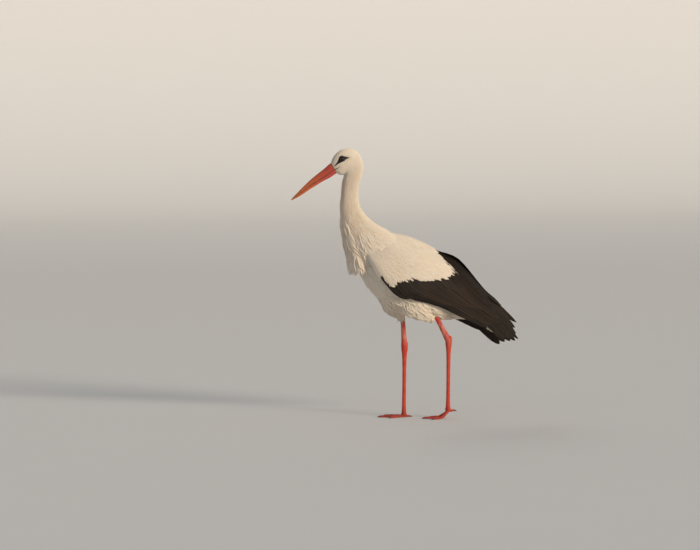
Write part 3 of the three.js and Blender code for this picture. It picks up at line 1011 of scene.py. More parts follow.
def vertex_array(piece: Piece) -> Array:
    """The vertices of an object in the bird's frame, in millimetres."""
    flat = np.empty(len(piece.data.vertices) * 3, np.float32)
    piece.data.vertices.foreach_get("co", flat)
    return flat.reshape(-1, 3).astype(float) / MM - SHIFT


def set_vertices(piece: Piece, points: Array) -> None:
    """Moves the vertices of an object to points in the bird's frame."""
    piece.data.vertices.foreach_set("co", placed(points).astype(np.float32).ravel())
    piece.data.update()


def paint(piece: Piece, label: str, values: Array) -> None:
    """Stores a number for each vertex."""
    layer = piece.data.attributes.new(label, "FLOAT", "POINT")
    layer.data.foreach_set("value", np.asarray(values, np.float32))


# ------------------------------------------------------------------ node trees
class Tree:
    """A node tree with short ways to add nodes and join them."""

    def __init__(self, tree: bpy.types.NodeTree) -> None:
        """Keeps the tree that nodes are added to."""
        self.tree = tree

    def add(self, kind: str, **settings: object) -> bpy.types.Node:
        """Adds a node of a kind and sets its properties."""
        node = self.tree.nodes.new(kind)
        for key, value in settings.items():
            setattr(node, key, value)
        return node

    def feed(self, socket: Socket, source: object) -> None:
        """Joins a socket to another one, or sets its value."""
        if isinstance(source, bpy.types.NodeSocket):
            self.tree.links.new(source, socket)
        else:
            socket.default_value = source

    def settle(self, node: bpy.types.Node, **values: object) -> None:
        """Feeds inputs given by their names, with _ for each space."""
        for label, value in values.items():
            self.feed(node.inputs[label.replace("_", " ")], value)

    def math(self, operation: str, *sources: object) -> Socket:
        """Adds a math node."""
        node = self.add("ShaderNodeMath", operation=operation)
        for socket, source in zip(node.inputs, sources):
            self.feed(socket, source)
        return node.outputs[0]

    def times(self, first: object, second: object) -> Socket:
        """Multiplies two values."""
        return self.math("MULTIPLY", first, second)

    def ramp(self, source: object, low: float, high: float, start: float = 0.0, stop: float = 1.0) -> Socket:
        """Maps a value from low..high to start..stop, smoothly and within bounds."""
        node = self.add("ShaderNodeMapRange", interpolation_type="SMOOTHSTEP")
        for socket, value in zip(node.inputs, (source, low, high, start, stop)):
            self.feed(socket, value)
        return node.outputs[0]

    def mix(self, share: object, first: object, second: object) -> Socket:
        """Mixes two colours."""
        node = self.add("ShaderNodeMix", data_type="RGBA")
        self.feed(node.inputs[0], share)
        self.feed(node.inputs[6], first)
        self.feed(node.inputs[7], second)
        return node.outputs[2]

    def attribute(self, name: str) -> Socket:
        """Reads a number stored on the mesh."""
        return self.add("ShaderNodeAttribute", attribute_name=name).outputs["Fac"]

    def object_place(self) -> Socket:
        """Reads Object coordinates."""
        return self.add("ShaderNodeTexCoord").outputs["Object"]

    def axes(self) -> tuple[Socket, Socket, Socket]:
        """Reads Object coordinates as X, Y and Z."""
        node = self.add("ShaderNodeSeparateXYZ")
        self.feed(node.inputs[0], self.object_place())
        return tuple(node.outputs)

    def mapped(self, source: Socket, **values: Triple) -> Socket:
        """Turns or scales a vector."""
        node = self.add("ShaderNodeMapping")
        self.settle(node, Vector=source, **values)
        return node.outputs[0]

    def noise(
        self, scale: object, detail: float = 3.0, squeeze: Triple = (1, 1, 1), source: Socket | None = None
    ) -> Socket:
        """Adds noise over Object coordinates or another vector, squeezed along its axes."""
        vector = self.mapped(self.object_place() if source is None else source, Scale=squeeze)
        node = self.add("ShaderNodeTexNoise")
        self.settle(node, Scale=scale, Detail=detail, Vector=vector)
        return node.outputs["Fac"]


VALUE, COLOUR = "NodeSocketFloat", "NodeSocketColor"
FULL_TURN = 2 * math.pi


def new_group(
    name: str, inputs: dict[str, tuple[str, object]], outputs: dict[str, str]
) -> tuple[Tree, dict[str, Socket], dict[str, Socket]]:
    """Starts a node group.

    Args:
        name: the group's name.
        inputs: name, then socket type and default.
        outputs: name, then socket type.

    Returns:
        The tree, its inputs as sockets to read and its outputs as sockets to feed.
    """
    group = bpy.data.node_groups.new(name, "ShaderNodeTree")
    for label, (kind, default) in inputs.items():
        group.interface.new_socket(label, in_out="INPUT", socket_type=kind).default_value = default
    for label, kind in outputs.items():
        group.interface.new_socket(label, in_out="OUTPUT", socket_type=kind)
    tree = Tree(group)
    entry, leave = tree.add("NodeGroupInput"), tree.add("NodeGroupOutput")
    given = {label: entry.outputs[label] for label in inputs}
    wanted = {label: leave.inputs[label] for label in outputs}
    return tree, given, wanted


def vane_group() -> bpy.types.NodeTree:
    """Effect on every feather: barbs slanting from the shaft, the shaft itself, the root where white feathers get
    painted shade, the edge.
    """
    tree, given, wanted = new_group(
        "Vane", {"Barbs": (VALUE, 18.0), "Slant": (VALUE, 0.25)},
        {"Height": VALUE, "Shaft": VALUE, "Root": VALUE, "Edge": VALUE, "Tone": VALUE, "Streak": VALUE},
    )
    along, across, tone = tree.attribute("along"), tree.attribute("across"), tree.attribute("tone")
    reach = tree.math("ABSOLUTE", across)
    run = tree.math("SUBTRACT", along, tree.times(reach, given["Slant"]))
    wobble = tree.times(tree.noise(900.0, 2.0), 0.05)
    wave = tree.math("SINE", tree.times(tree.times(tree.math("ADD", run, wobble), given["Barbs"]), FULL_TURN))
    shaft = tree.ramp(reach, 0.10, 0.03)
    barbs = tree.math("MULTIPLY_ADD", wave, 0.5, 0.5)
    tree.feed(wanted["Height"], tree.math("MULTIPLY_ADD", shaft, 0.8, barbs))
    tree.feed(wanted["Shaft"], shaft)
    tree.feed(wanted["Root"], tree.ramp(along, 0.5, 0.05))
    tree.feed(wanted["Edge"], tree.ramp(reach, 0.66, 1.0))
    tree.feed(wanted["Tone"], tone)
    own = tree.add("ShaderNodeCombineXYZ")
    for socket, source in zip(own.inputs, (tree.times(across, 5.0), along, tree.times(tone, 41.0))):
        tree.feed(socket, source)
    tree.feed(wanted["Streak"], tree.ramp(tree.noise(1.6, source=own.outputs[0]), 0.42, 0.72))
    return tree.tree


def stain_group() -> bpy.types.NodeTree:
    """Effect of wear: patches of dirt that a material mixes over its colour."""
    inputs = {
        "Colour": (COLOUR, (1, 1, 1, 1)), "Dirt": (COLOUR, (0.2, 0.15, 0.1, 1)),
        "Amount": (VALUE, 0.5), "Scale": (VALUE, 30.0),
    }
    tree, given, wanted = new_group("Stain", inputs, {"Colour": COLOUR})
    mask = tree.times(tree.ramp(tree.noise(given["Scale"], 5.0), 0.45, 0.75), given["Amount"])
    tree.feed(wanted["Colour"], tree.mix(mask, given["Colour"], given["Dirt"]))
    return tree.tree


def plumage_group() -> bpy.types.NodeTree:
    """Effect of the white coat's colour on skin and feathers: painted shade in cream lower down, buff markings on
    throat and breast.
    """
    white, cream, buff = (0.81, 0.74, 0.64, 1), (0.78, 0.68, 0.54, 1), (0.68, 0.52, 0.36, 1)
    tree, given, wanted = new_group("Plumage", {"Tone": (VALUE, 0.5)}, {"Colour": COLOUR})
    x, _y, z = tree.axes()
    height = tree.times(tree.ramp(z, 0.44, 0.56), tree.ramp(z, 0.84, 0.74))
    throat = tree.times(tree.ramp(x, -0.10, -0.20), height)
    streak = tree.ramp(tree.noise(70.0, 4.0, (1, 1, 0.25)), 0.42, 0.68)
    # Painted shade: cream towards the underside.
    base = tree.mix(tree.times(tree.ramp(z, 0.46, 0.36), 0.5), white, cream)
    base = tree.mix(tree.times(tree.ramp(tree.noise(22.0), 0.4, 0.75), 0.45), base, cream)
    base = tree.mix(tree.times(throat, tree.math("MULTIPLY_ADD", streak, 0.55, 0.15)), base, buff)
    own = tree.times(tree.ramp(given["Tone"], 0.45, 1.0), 0.28)
    tree.feed(wanted["Colour"], tree.mix(own, base, buff))
    return tree.tree


GROUPS: dict[str, bpy.types.NodeTree] = {}


def use_group(tree: Tree, name: str, **inputs: object) -> bpy.types.Node:
    """Adds a shared effect to a material.

    Args:
        tree: the material's tree.
        name: the group's name.
        **inputs: its inputs by name.

    Returns:
        The group node.
    """
    makers = {"Vane": vane_group, "Stain": stain_group, "Plumage": plumage_group}
    if name not in GROUPS:
        GROUPS[name] = makers[name]()
    node = tree.add("ShaderNodeGroup", node_tree=GROUPS[name])
    tree.settle(node, **inputs)
    return node


@dataclass(frozen=True)
class Finish:
    """What every finish of the bird has.

    Attributes:
        name: the material's name.
        roughness: of its surface.
        bump: strength of its relief.
        relief: height of its relief in metres.
    """

    name: str
    roughness: float
    bump: float
    relief: float

    def build(self) -> bpy.types.Material:
        """Makes the material once and gives it again later."""
        known = bpy.data.materials.get(self.name)
        if known:
            return known
        material = bpy.data.materials.new(self.name)
        material.use_nodes = True
        tree = Tree(material.node_tree)
        shader = next(n for n in material.node_tree.nodes if n.type == "BSDF_PRINCIPLED")
        bump = tree.add("ShaderNodeBump")
        tree.settle(bump, Strength=self.bump, Distance=self.relief, Height=self.paint(tree, shader))
        tree.settle(shader, Roughness=self.roughness, Normal=bump.outputs[0])
        return material

    def paint(self, tree: Tree, shader: bpy.types.Node) -> Socket:
        """Feeds the shader's colour and gives the height of the relief."""
        raise NotImplementedError


@dataclass(frozen=True)
class WhiteFeather(Finish):
    """White plumage.

    Attributes:
        barbs: barbs along a feather.
        dusk: how far the roots are darkened with painted shade.
        down: colour of the painted shade at the roots.
        streak: colour of the faint streaks along a feather.
    """

    barbs: float = 14.0
    # Strength and colour of the painted shade at the feathers' roots.
    dusk: float = 0.3
    down: Colour = (0.60, 0.50, 0.38, 1)
    streak: Colour = (0.62, 0.50, 0.36, 1)

    def paint(self, tree: Tree, shader: bpy.types.Node) -> Socket:
        """Feeds the white with its markings and the painted shade at its roots."""
        vane = use_group(tree, "Vane", Barbs=self.barbs).outputs
        coat = use_group(tree, "Plumage", Tone=vane["Tone"])
        # Painted shade at each feather's root, where the feathers over it cover it.
        colour = tree.mix(tree.times(vane["Root"], self.dusk), coat.outputs["Colour"], self.down)
        colour = tree.mix(tree.times(vane["Streak"], 0.16), colour, self.streak)
        tree.settle(shader, Base_Color=colour, Specular_IOR_Level=0.25, Sheen_Weight=0.15)
        return vane["Height"]


@dataclass(frozen=True)
class BlackFeather(Finish):
    """Black flight feathers, browner at their worn edges."""

    barbs: float = 60.0
    black: Colour = (0.011, 0.009, 0.008, 1)
    brown: Colour = (0.082, 0.054, 0.037, 1)
    shaft: Colour = (0.03, 0.02, 0.015, 1)

    def paint(self, tree: Tree, shader: bpy.types.Node) -> Socket:
        """Feeds the black with its brown edges, faded patches and painted sheen."""
        vane = use_group(tree, "Vane", Barbs=self.barbs).outputs
        brown = tree.times(vane["Edge"], tree.math("MULTIPLY_ADD", vane["Tone"], 0.6, 0.2))
        # Brown over the black, in patches, on some feathers and in streaks along the barbs: partly faded colour, partly
        # painted sheen.
        for fade_and_sheen in (
            tree.times(tree.ramp(tree.noise(26.0), 0.4, 0.8), 0.22),
            tree.times(tree.ramp(vane["Tone"], 0.5, 1.0), 0.20),
            tree.times(vane["Streak"], 0.26),
        ):
            brown = tree.math("MAXIMUM", brown, fade_and_sheen)
        colour = tree.mix(brown, self.black, self.brown)
        colour = tree.mix(tree.times(vane["Shaft"], 0.5), colour, self.shaft)
        tree.settle(shader, Base_Color=colour, Specular_IOR_Level=0.13)
        return vane["Height"]


@dataclass(frozen=True)
class Skin(Finish):
    """Skin: white where the coat covers it, black and bare on the face, red and scaled on the legs."""

    red: Colour = (0.67, 0.064, 0.029, 1)
    deep: Colour = (0.56, 0.032, 0.017, 1)
    chalk: Colour = (0.66, 0.33, 0.25, 1)
    grime: Colour = (0.16, 0.10, 0.07, 1)
    feet: Colour = (0.20, 0.035, 0.02, 1)
    seams: Colour = (0.26, 0.03, 0.018, 1)
    bare: Colour = (0.012, 0.011, 0.011, 1)

    def paint(self, tree: Tree, shader: bpy.types.Node) -> Socket:
        """Feeds the skin's zones."""
        coat = use_group(tree, "Plumage")
        _x, _y, z = tree.axes()
        leg, face = tree.attribute("leg"), tree.attribute("face")
        colour = tree.mix(tree.ramp(tree.noise(55.0, 4.0), 0.35, 0.7), self.red, self.deep)
        dusty = tree.ramp(tree.noise(90.0, 5.0, (1, 1, 0.4)), 0.38, 0.62)
        chalky = tree.times(tree.ramp(z, 0.225, 0.275), dusty)
        colour = tree.mix(tree.times(chalky, 0.6), colour, self.chalk)
        colour = tree.mix(tree.times(tree.ramp(z, 0.05, 0.0), 0.55), colour, self.feet)
        stained = use_group(tree, "Stain", Colour=colour, Dirt=self.grime, Amount=0.35, Scale=160.0)
        scales = tree.add("ShaderNodeTexVoronoi", feature="DISTANCE_TO_EDGE")
        tree.settle(scales, Scale=430.0, Vector=tree.object_place())
        plates = tree.ramp(scales.outputs["Distance"], 0.0, 0.16)
        seams = tree.math("MULTIPLY_ADD", plates, -0.30, 0.30)
        legs = tree.mix(seams, stained.outputs["Colour"], self.seams)
        colour = tree.mix(face, tree.mix(leg, coat.outputs["Colour"], legs), self.bare)
        tree.settle(shader, Base_Color=colour, Specular_IOR_Level=0.4)
        return tree.math("ADD", tree.times(plates, leg), tree.times(tree.noise(420.0, 3.0), 0.6))


@dataclass(frozen=True)
class Horn(Finish):
    """Horn of the bill, redder at its base, streaked along and darker beside the gape."""

    base: Colour = (0.46, 0.055, 0.045, 1)
    tip: Colour = (0.55, 0.13, 0.035, 1)
    line: Colour = (0.33, 0.06, 0.03, 1)
    dirt: Colour = (0.10, 0.045, 0.030, 1)
    scuff: Colour = (0.55, 0.26, 0.17, 1)
    slope: float = math.radians(-33)

    def paint(self, tree: Tree, shader: bpy.types.Node) -> Socket:
        """Feeds the horn's colours."""
        colour = tree.mix(tree.ramp(tree.axes()[0], -0.24, -0.35), self.base, self.tip)
        turned = tree.mapped(tree.object_place(), Rotation=(0, self.slope, 0))
        streaks = tree.noise(520.0, 4.0, (0.07, 1, 1), turned)
        colour = tree.mix(tree.times(tree.ramp(streaks, 0.4, 0.7), 0.35), colour, self.line)
        # Darker beside the gape, in irregular patches.
        gape = tree.ramp(tree.attribute("gape"), 0.15, 0.85)
        gape = tree.times(gape, tree.ramp(streaks, 0.30, 0.62, 0.35, 1.0))
        gape = tree.times(gape, tree.ramp(tree.noise(45.0, 4.0), 0.30, 0.62, 0.4, 1.0))
        colour = tree.mix(tree.times(gape, 0.85), colour, self.dirt)
        for dirt, amount, scale in ((self.scuff, 0.22, 190.0), (self.dirt, 0.30, 420.0)):
            stain = use_group(tree, "Stain", Colour=colour, Dirt=dirt, Amount=amount, Scale=scale)
            colour = stain.outputs["Colour"]
        tree.settle(shader, Base_Color=colour, Specular_IOR_Level=0.35, Coat_Weight=0.06, Coat_Roughness=0.4)
        return streaks


@dataclass(frozen=True)
class Eye(Finish):
    """Dark brown iris round a black pupil, wet and glossy."""

    iris: Colour = (0.010, 0.005, 0.003, 1)
    fibre: Colour = (0.035, 0.016, 0.008, 1)
    pupil: Colour = (0.002, 0.002, 0.002, 1)
    rim: Colour = (0.006, 0.005, 0.005, 1)

    def paint(self, tree: Tree, shader: bpy.types.Node) -> Socket:
        """Feeds the iris and the pupil."""
        off = tree.attribute("off_axis")
        fibres = tree.noise(2200.0, 3.0)
        colour = tree.mix(tree.ramp(off, 3.3, 2.9), tree.mix(fibres, self.iris, self.fibre), self.pupil)
        colour = tree.mix(tree.ramp(off, 5.2, 6.2), colour, self.rim)
        tree.settle(shader, Base_Color=colour, Specular_IOR_Level=0.15, Coat_Weight=0.55, Coat_Roughness=0.06)
        return fibres


@dataclass(frozen=True)
class Claw(Finish):
    """Blackish horn of the claws, redder where it leaves the toe."""

    dark: Colour = (0.030, 0.018, 0.014, 1)
    light: Colour = (0.10, 0.045, 0.030, 1)
    quick: Colour = (0.30, 0.035, 0.02, 1)

    def paint(self, tree: Tree, shader: bpy.types.Node) -> Socket:
        """Feeds the horn's colours."""
        grain = tree.noise(600.0, 4.0)
        colour = tree.mix(tree.ramp(grain, 0.35, 0.7), self.dark, self.light)
        tree.settle(shader, Base_Color=tree.mix(tree.attribute("quick"), colour, self.quick))
        return grain


@dataclass(frozen=True)
class Paper(Finish):
    """The studio's pale floor and backdrop."""

    colour: Colour = (0.78, 0.795, 0.81, 1)
    cloud: Colour = (0.70, 0.71, 0.72, 1)

    def paint(self, tree: Tree, shader: bpy.types.Node) -> Socket:
        """Feeds a nearly even pale grey."""
        clouds = tree.times(tree.noise(3.0, 4.0), 0.10)
        tree.settle(shader, Base_Color=tree.mix(clouds, self.colour, self.cloud))
        return tree.noise(180.0, 2.0)


FACE_COAT = WhiteFeather("face_feathers", 0.72, 0.25, 0.0003, barbs=7, dusk=0.12)
SMALL_COAT = WhiteFeather("small_feathers", 0.74, 0.4, 0.0004, barbs=12, dusk=0.3)
LARGE_COAT = WhiteFeather("large_feathers", 0.72, 0.4, 0.0005, barbs=20, dusk=0.22)
TAIL_WHITE = WhiteFeather("tail_feathers", 0.68, 0.4, 0.0005, barbs=60, dusk=0.1)
FLIGHT_BLACK = BlackFeather("long_black_vanes", 0.50, 0.45, 0.0006, barbs=70)
COVERT_BLACK = BlackFeather("black_coverts", 0.52, 0.45, 0.0005, barbs=30, brown=(0.075, 0.052, 0.038, 1))
SKIN = Skin("skin", 0.55, 0.6, 0.0006)
HORN = Horn("bill_horn", 0.47, 0.35, 0.0004)
EYE_FINISH = Eye("eye_surface", 0.08, 0.05, 0.0001)
CLAW_FINISH = Claw("claw_horn", 0.42, 0.3, 0.0003)
PAPER = Paper("studio_paper", 0.85, 0.05, 0.0005)


def dress(piece: Piece, finish: Finish, nodes: Sequence[str]) -> Piece:
    """Gives a piece its finish, its slot, the nodes it stands for and its body.

    Args:
        piece: the object.
        finish: its finish.
        nodes: CAD nodes that it replaces.

    Returns:
        The same object.
    """
    piece.data.materials.clear()
    piece.data.materials.append(finish.build())
    if nodes:
        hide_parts(*nodes)
    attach(piece, ROOT_BODY)
    LOG.info("%s: %d faces", piece.name, len(piece.data.polygons))
    return piece


# ------------------------------------------------------------------ legs
@dataclass(frozen=True)
class Toe:
    """One toe: heading from straight ahead in degrees, outwards positive, then length and radius."""

    heading: float
    length: float
    radius: float


TOES = {
    "hallux": Toe(172, 20, 4.6),
    "inner": Toe(-30, 58, 4.9),
    "middle": Toe(2, 79, 5.2),
    "outer": Toe(33, 66, 5.0),
}
TOE_TAPER, TOE_SIT, TOE_REACH, HALLUX_RISE = 0.24, 0.82, 0.6, 3.0
PAD_SWELL, PAD_LENGTH = 0.085, 20
CLAW_LENGTH, CLAW_GIRTH, CLAW_TAPER, CLAW_DROP, GAP = 9.0, 0.6, 0.84, 2.4, 0.3
WEB_AT, WEB_RADII = 0.2, (9.0, 7.5, 3.0)

# Lumps of the ankle: its middle, the heel behind it and a knuckle on each side, as offset and half sizes.
ANKLE_LUMPS = (
    ((0, 0, 0), (11.4, 10.0, 11.4)),
    ((4.5, 0, 6.0), (7.2, 6.6, 11.0)),
    ((-1.5, -5.6, -4.0), (6.6, 4.6, 8.4)),
    ((-1.5, 5.6, -4.0), (6.6, 4.6, 8.4)),
)


@dataclass(frozen=True)
class Bone:
    """A long bone with its skin: shares of its length, with half depth and half width at each."""

    at: tuple[float, ...]
    fore: tuple[float, ...]
    wide: tuple[float, ...]


SHANK_BONE = Bone(
    (-0.25, 0.0, 0.4, 0.6, 0.8, 0.93, 1.0),
    (8.6, 7.8, 7.6, 8.0, 9.2, 10.6, 11.2),
    (7.2, 6.6, 6.4, 6.8, 7.6, 9.0, 9.8),
)
TARSUS_BONE = Bone(
    (0.0, 0.05, 0.11, 0.2, 0.32, 0.6, 0.8, 0.92, 1.0),
    (11.2, 10.8, 8.6, 7.3, 6.7, 6.4, 6.5, 7.2, 8.4),
    (9.8, 9.4, 7.4, 6.0, 5.4, 5.2, 5.4, 6.0, 7.4),
)


@dataclass
class Leg:
    """A bare leg from the end of the thigh's feathers to the claws.

    Attributes:
        side: which leg.
        y: distance from the midline.
        ankle: X of the ankle.
        hub: X and Z of the joint that the toes spread from.
        top: X and Z where the bare shank starts.
    """

    side: Side
    y: float
    ankle: float
    hub: Pair
    top: Pair

    def beside(self, x: float, z: float) -> Array:
        """A point in the leg's own upright plane."""
        return np.array([x, self.y * self.side.value, z])

    @property
    def ankle_point(self) -> Array:
        """The ankle's middle."""
        return self.beside(self.ankle, self.hub[1] + math.sqrt(TARSUS**2 - (self.ankle - self.hub[0]) ** 2))

    @property
    def hub_point(self) -> Array:
        """The middle of the joint that the toes spread from."""
        return self.beside(*self.hub)

    @property
    def top_point(self) -> Array:
        """Where the bare shank starts."""
        return self.beside(*self.top)

    def way(self, heading: float) -> Array:
        """Direction of a toe over the floor."""
        angle = math.radians(heading)
        return np.array([-math.cos(angle), math.sin(angle) * self.side.value, 0.0])

    def toe_point(self, toe: Toe, share: float) -> Array:
        """A point on a toe's axis."""
        raised = max(0.0, self.hub[1] - HUB_RADIUS)
        behind = abs(toe.heading) > 90
        down = 0.0 if behind else 1 - max(0.0, 1 - share / TOE_REACH) ** 2
        rise = HALLUX_RISE * share if behind and raised > 0 else 0.0
        point = self.hub_point + self.way(toe.heading) * toe.length * share
        point[2] = TOE_SIT * toe.radius * (1 - TOE_TAPER * share) + raised * (1 - down) + rise
        return point

    def limb(self, name: str, start: Array, stop: Array, bone: Bone) -> Piece:
        """Lofts a long bone with its skin, wider from front to back than across."""
        ahead = np.cross(unit(stop - start), (0, 1, 0))
        rings = [
            Ring(tuple(start + (stop - start) * share), tuple(ahead * deep), (0, broad, 0))
            for share, deep, broad in zip(bone.at, bone.fore, bone.wide)
        ]
        return loft_rings(name, rings, 20)

    def toe_body(self, name: str, toe: Toe) -> Piece:
        """Lofts a toe with its pads, closing round the root of the claw."""
        pads = max(2, round(toe.length / PAD_LENGTH))
        across = self.way(toe.heading + 90)
        steps = pads * 6
        closing = {steps: 0.66, steps - 1: 0.86}
        rings = []
        for i in range(steps + 1):
            share = i / steps
            ahead = unit(self.toe_point(toe, share + 0.01) - self.toe_point(toe, share - 0.01))
            up = np.cross(ahead, across)
            up = up if up[2] > 0 else -up
            pad = 1 + PAD_SWELL * math.cos(share * pads * 2 * math.pi)
            size = toe.radius * (1 - TOE_TAPER * share) * pad * closing.get(i, 1.0)
            centre = tuple(self.toe_point(toe, share))
            rings.append(Ring(centre, tuple(up * size), tuple(across * size * 1.04)))
        return loft_rings(name, rings, 16)

    def web(self, name: str, first: Toe, second: Toe) -> Piece:
        """The small fold of skin between two front toes, as a flattened ball by the hub."""
        middle = (self.toe_point(first, WEB_AT) + self.toe_point(second, WEB_AT)) / 2
        middle[2] = max(3.4, middle[2] - 1.0)
        return add_ball(name, middle, WEB_RADII)

    def build(self) -> Piece:
        """Makes the whole bare leg as one closed form, flat below."""
        name = self.side.word
        ankle, hub = self.ankle_point, self.hub_point
        pieces = [
            self.limb(f"shank_form_{name}", self.top_point, ankle, SHANK_BONE),
            self.limb(f"tarsus_form_{name}", ankle, hub, TARSUS_BONE),
            add_ball(f"hub_form_{name}", hub, (HUB_RADIUS,) * 3),
        ]
        pieces += [add_ball(f"ankle_form_{name}", ankle + np.array(at), radii) for at, radii in ANKLE_LUMPS]
        pieces += [self.toe_body(f"toe_form_{name}_{digit}", toe) for digit, toe in TOES.items()]
        pieces += [self.web(f"web_form_{name}", TOES["middle"], TOES[digit]) for digit in ("outer", "inner")]
        leg = join_pieces(pieces, f"leg_form_{name}")
        apply_modifier(leg, "REMESH", mode="VOXEL", voxel_size=1.15 * MM)
        apply_modifier(leg, "SMOOTH", factor=0.5, iterations=4)
        activate(leg)
        bpy.ops.object.mode_set(mode="EDIT")
        bpy.ops.mesh.select_all(action="SELECT")
        bpy.ops.mesh.bisect(plane_co=place((0, 0, 0.0)), plane_no=(0, 0, 1), use_fill=True, clear_inner=True)
        bpy.ops.object.mode_set(mode="OBJECT")
        return leg

    def nodes(self) -> list[str]:
        """CAD nodes of the leg's skin."""
        name = self.side.word
        return [f"shank_{name}", f"tarsus_{name}"] + [f"toe_{name}_{digit}" for digit in TOES]


LEGS = {
    Side.LEFT: Leg(Side.LEFT, 32, 140, (138, 30), (68, 394)),
    Side.RIGHT: Leg(Side.RIGHT, 30, 4, (2, 9), (-5, 362)),
}


@dataclass
class Claws:
    """The eight claws: one is modelled and copied to every toe."""

    legs: dict[Side, Leg]
    finish: Finish

    def pattern(self) -> Piece:
        """Models a claw one unit thick that points along X from the origin."""
        rings = []
        for share in (-0.3, -0.1, 0.1, 0.3, 0.5, 0.7, 0.85, 0.96, 1.0):
            reach = max(share, 0.0)
            size = (1 - CLAW_TAPER * reach**1.5) * (0.92 if share < 0 else 1.0)
            size *= 0.5 if share == 1.0 else 1.0
            at = (CLAW_LENGTH * share, 0.0, -CLAW_DROP * reach**2)
            rings.append(Ring(at, (0, 0, size), (0, size * 0.92, 0)))
        return loft_rings("claw_pattern", rings, 14)

    def build(self) -> list[Piece]:
        """Copies the claw to every toe, scaled to it."""
        pattern = self.pattern()
        shape = vertex_array(pattern)
        sag = -CLAW_DROP * np.clip(shape[:, 0] / CLAW_LENGTH, 0, 1) ** 2
        made = []
        for side, leg in self.legs.items():
            for digit, toe in TOES.items():
                activate(pattern)
                bpy.ops.object.duplicate()
                claw = bpy.context.active_object
                node = f"claw_{side.word}_{digit}"
                claw.name = claw.data.name = f"horn_{node}"
                girth = CLAW_GIRTH * toe.radius
                way, across = leg.way(toe.heading), leg.way(toe.heading + 90)
                start = leg.toe_point(toe, 1.0) + way * GAP
                points = start + way * shape[:, :1] + across * shape[:, 1:2] * girth
                points[:, 2] += (shape[:, 2] - sag) * girth + sag
                points[:, 2] = np.maximum(points[:, 2], 0.02)
                set_vertices(claw, points)
                paint(claw, "quick", np.clip(1 - shape[:, 0] / 3.0, 0, 1))
                tidy_normals(claw)
                claw.data.shade_smooth()
                made.append(dress(claw, self.finish, [node]))
        bpy.data.objects.remove(pattern)
        return made


# ------------------------------------------------------------------ skin
TRUNK_STATIONS = (
    -0.35, -0.12, *np.arange(0.1, 8.0, 0.3), *np.arange(8.0, 13.0, 0.3), *np.arange(13.0, 24.01, 0.5), 24.3
)
FACE_BACK, FACE_SIDE = -175, 4  # X behind which, and distance from the midline within which, no skin is bare
SHANK_FRINGE, SHANK_BLEND = 14, 8  # how far below its top a shank turns bare, and over what height
ALL_BARE, NONE_BARE = 250, 372  # heights below which all skin is bare, and above which none is


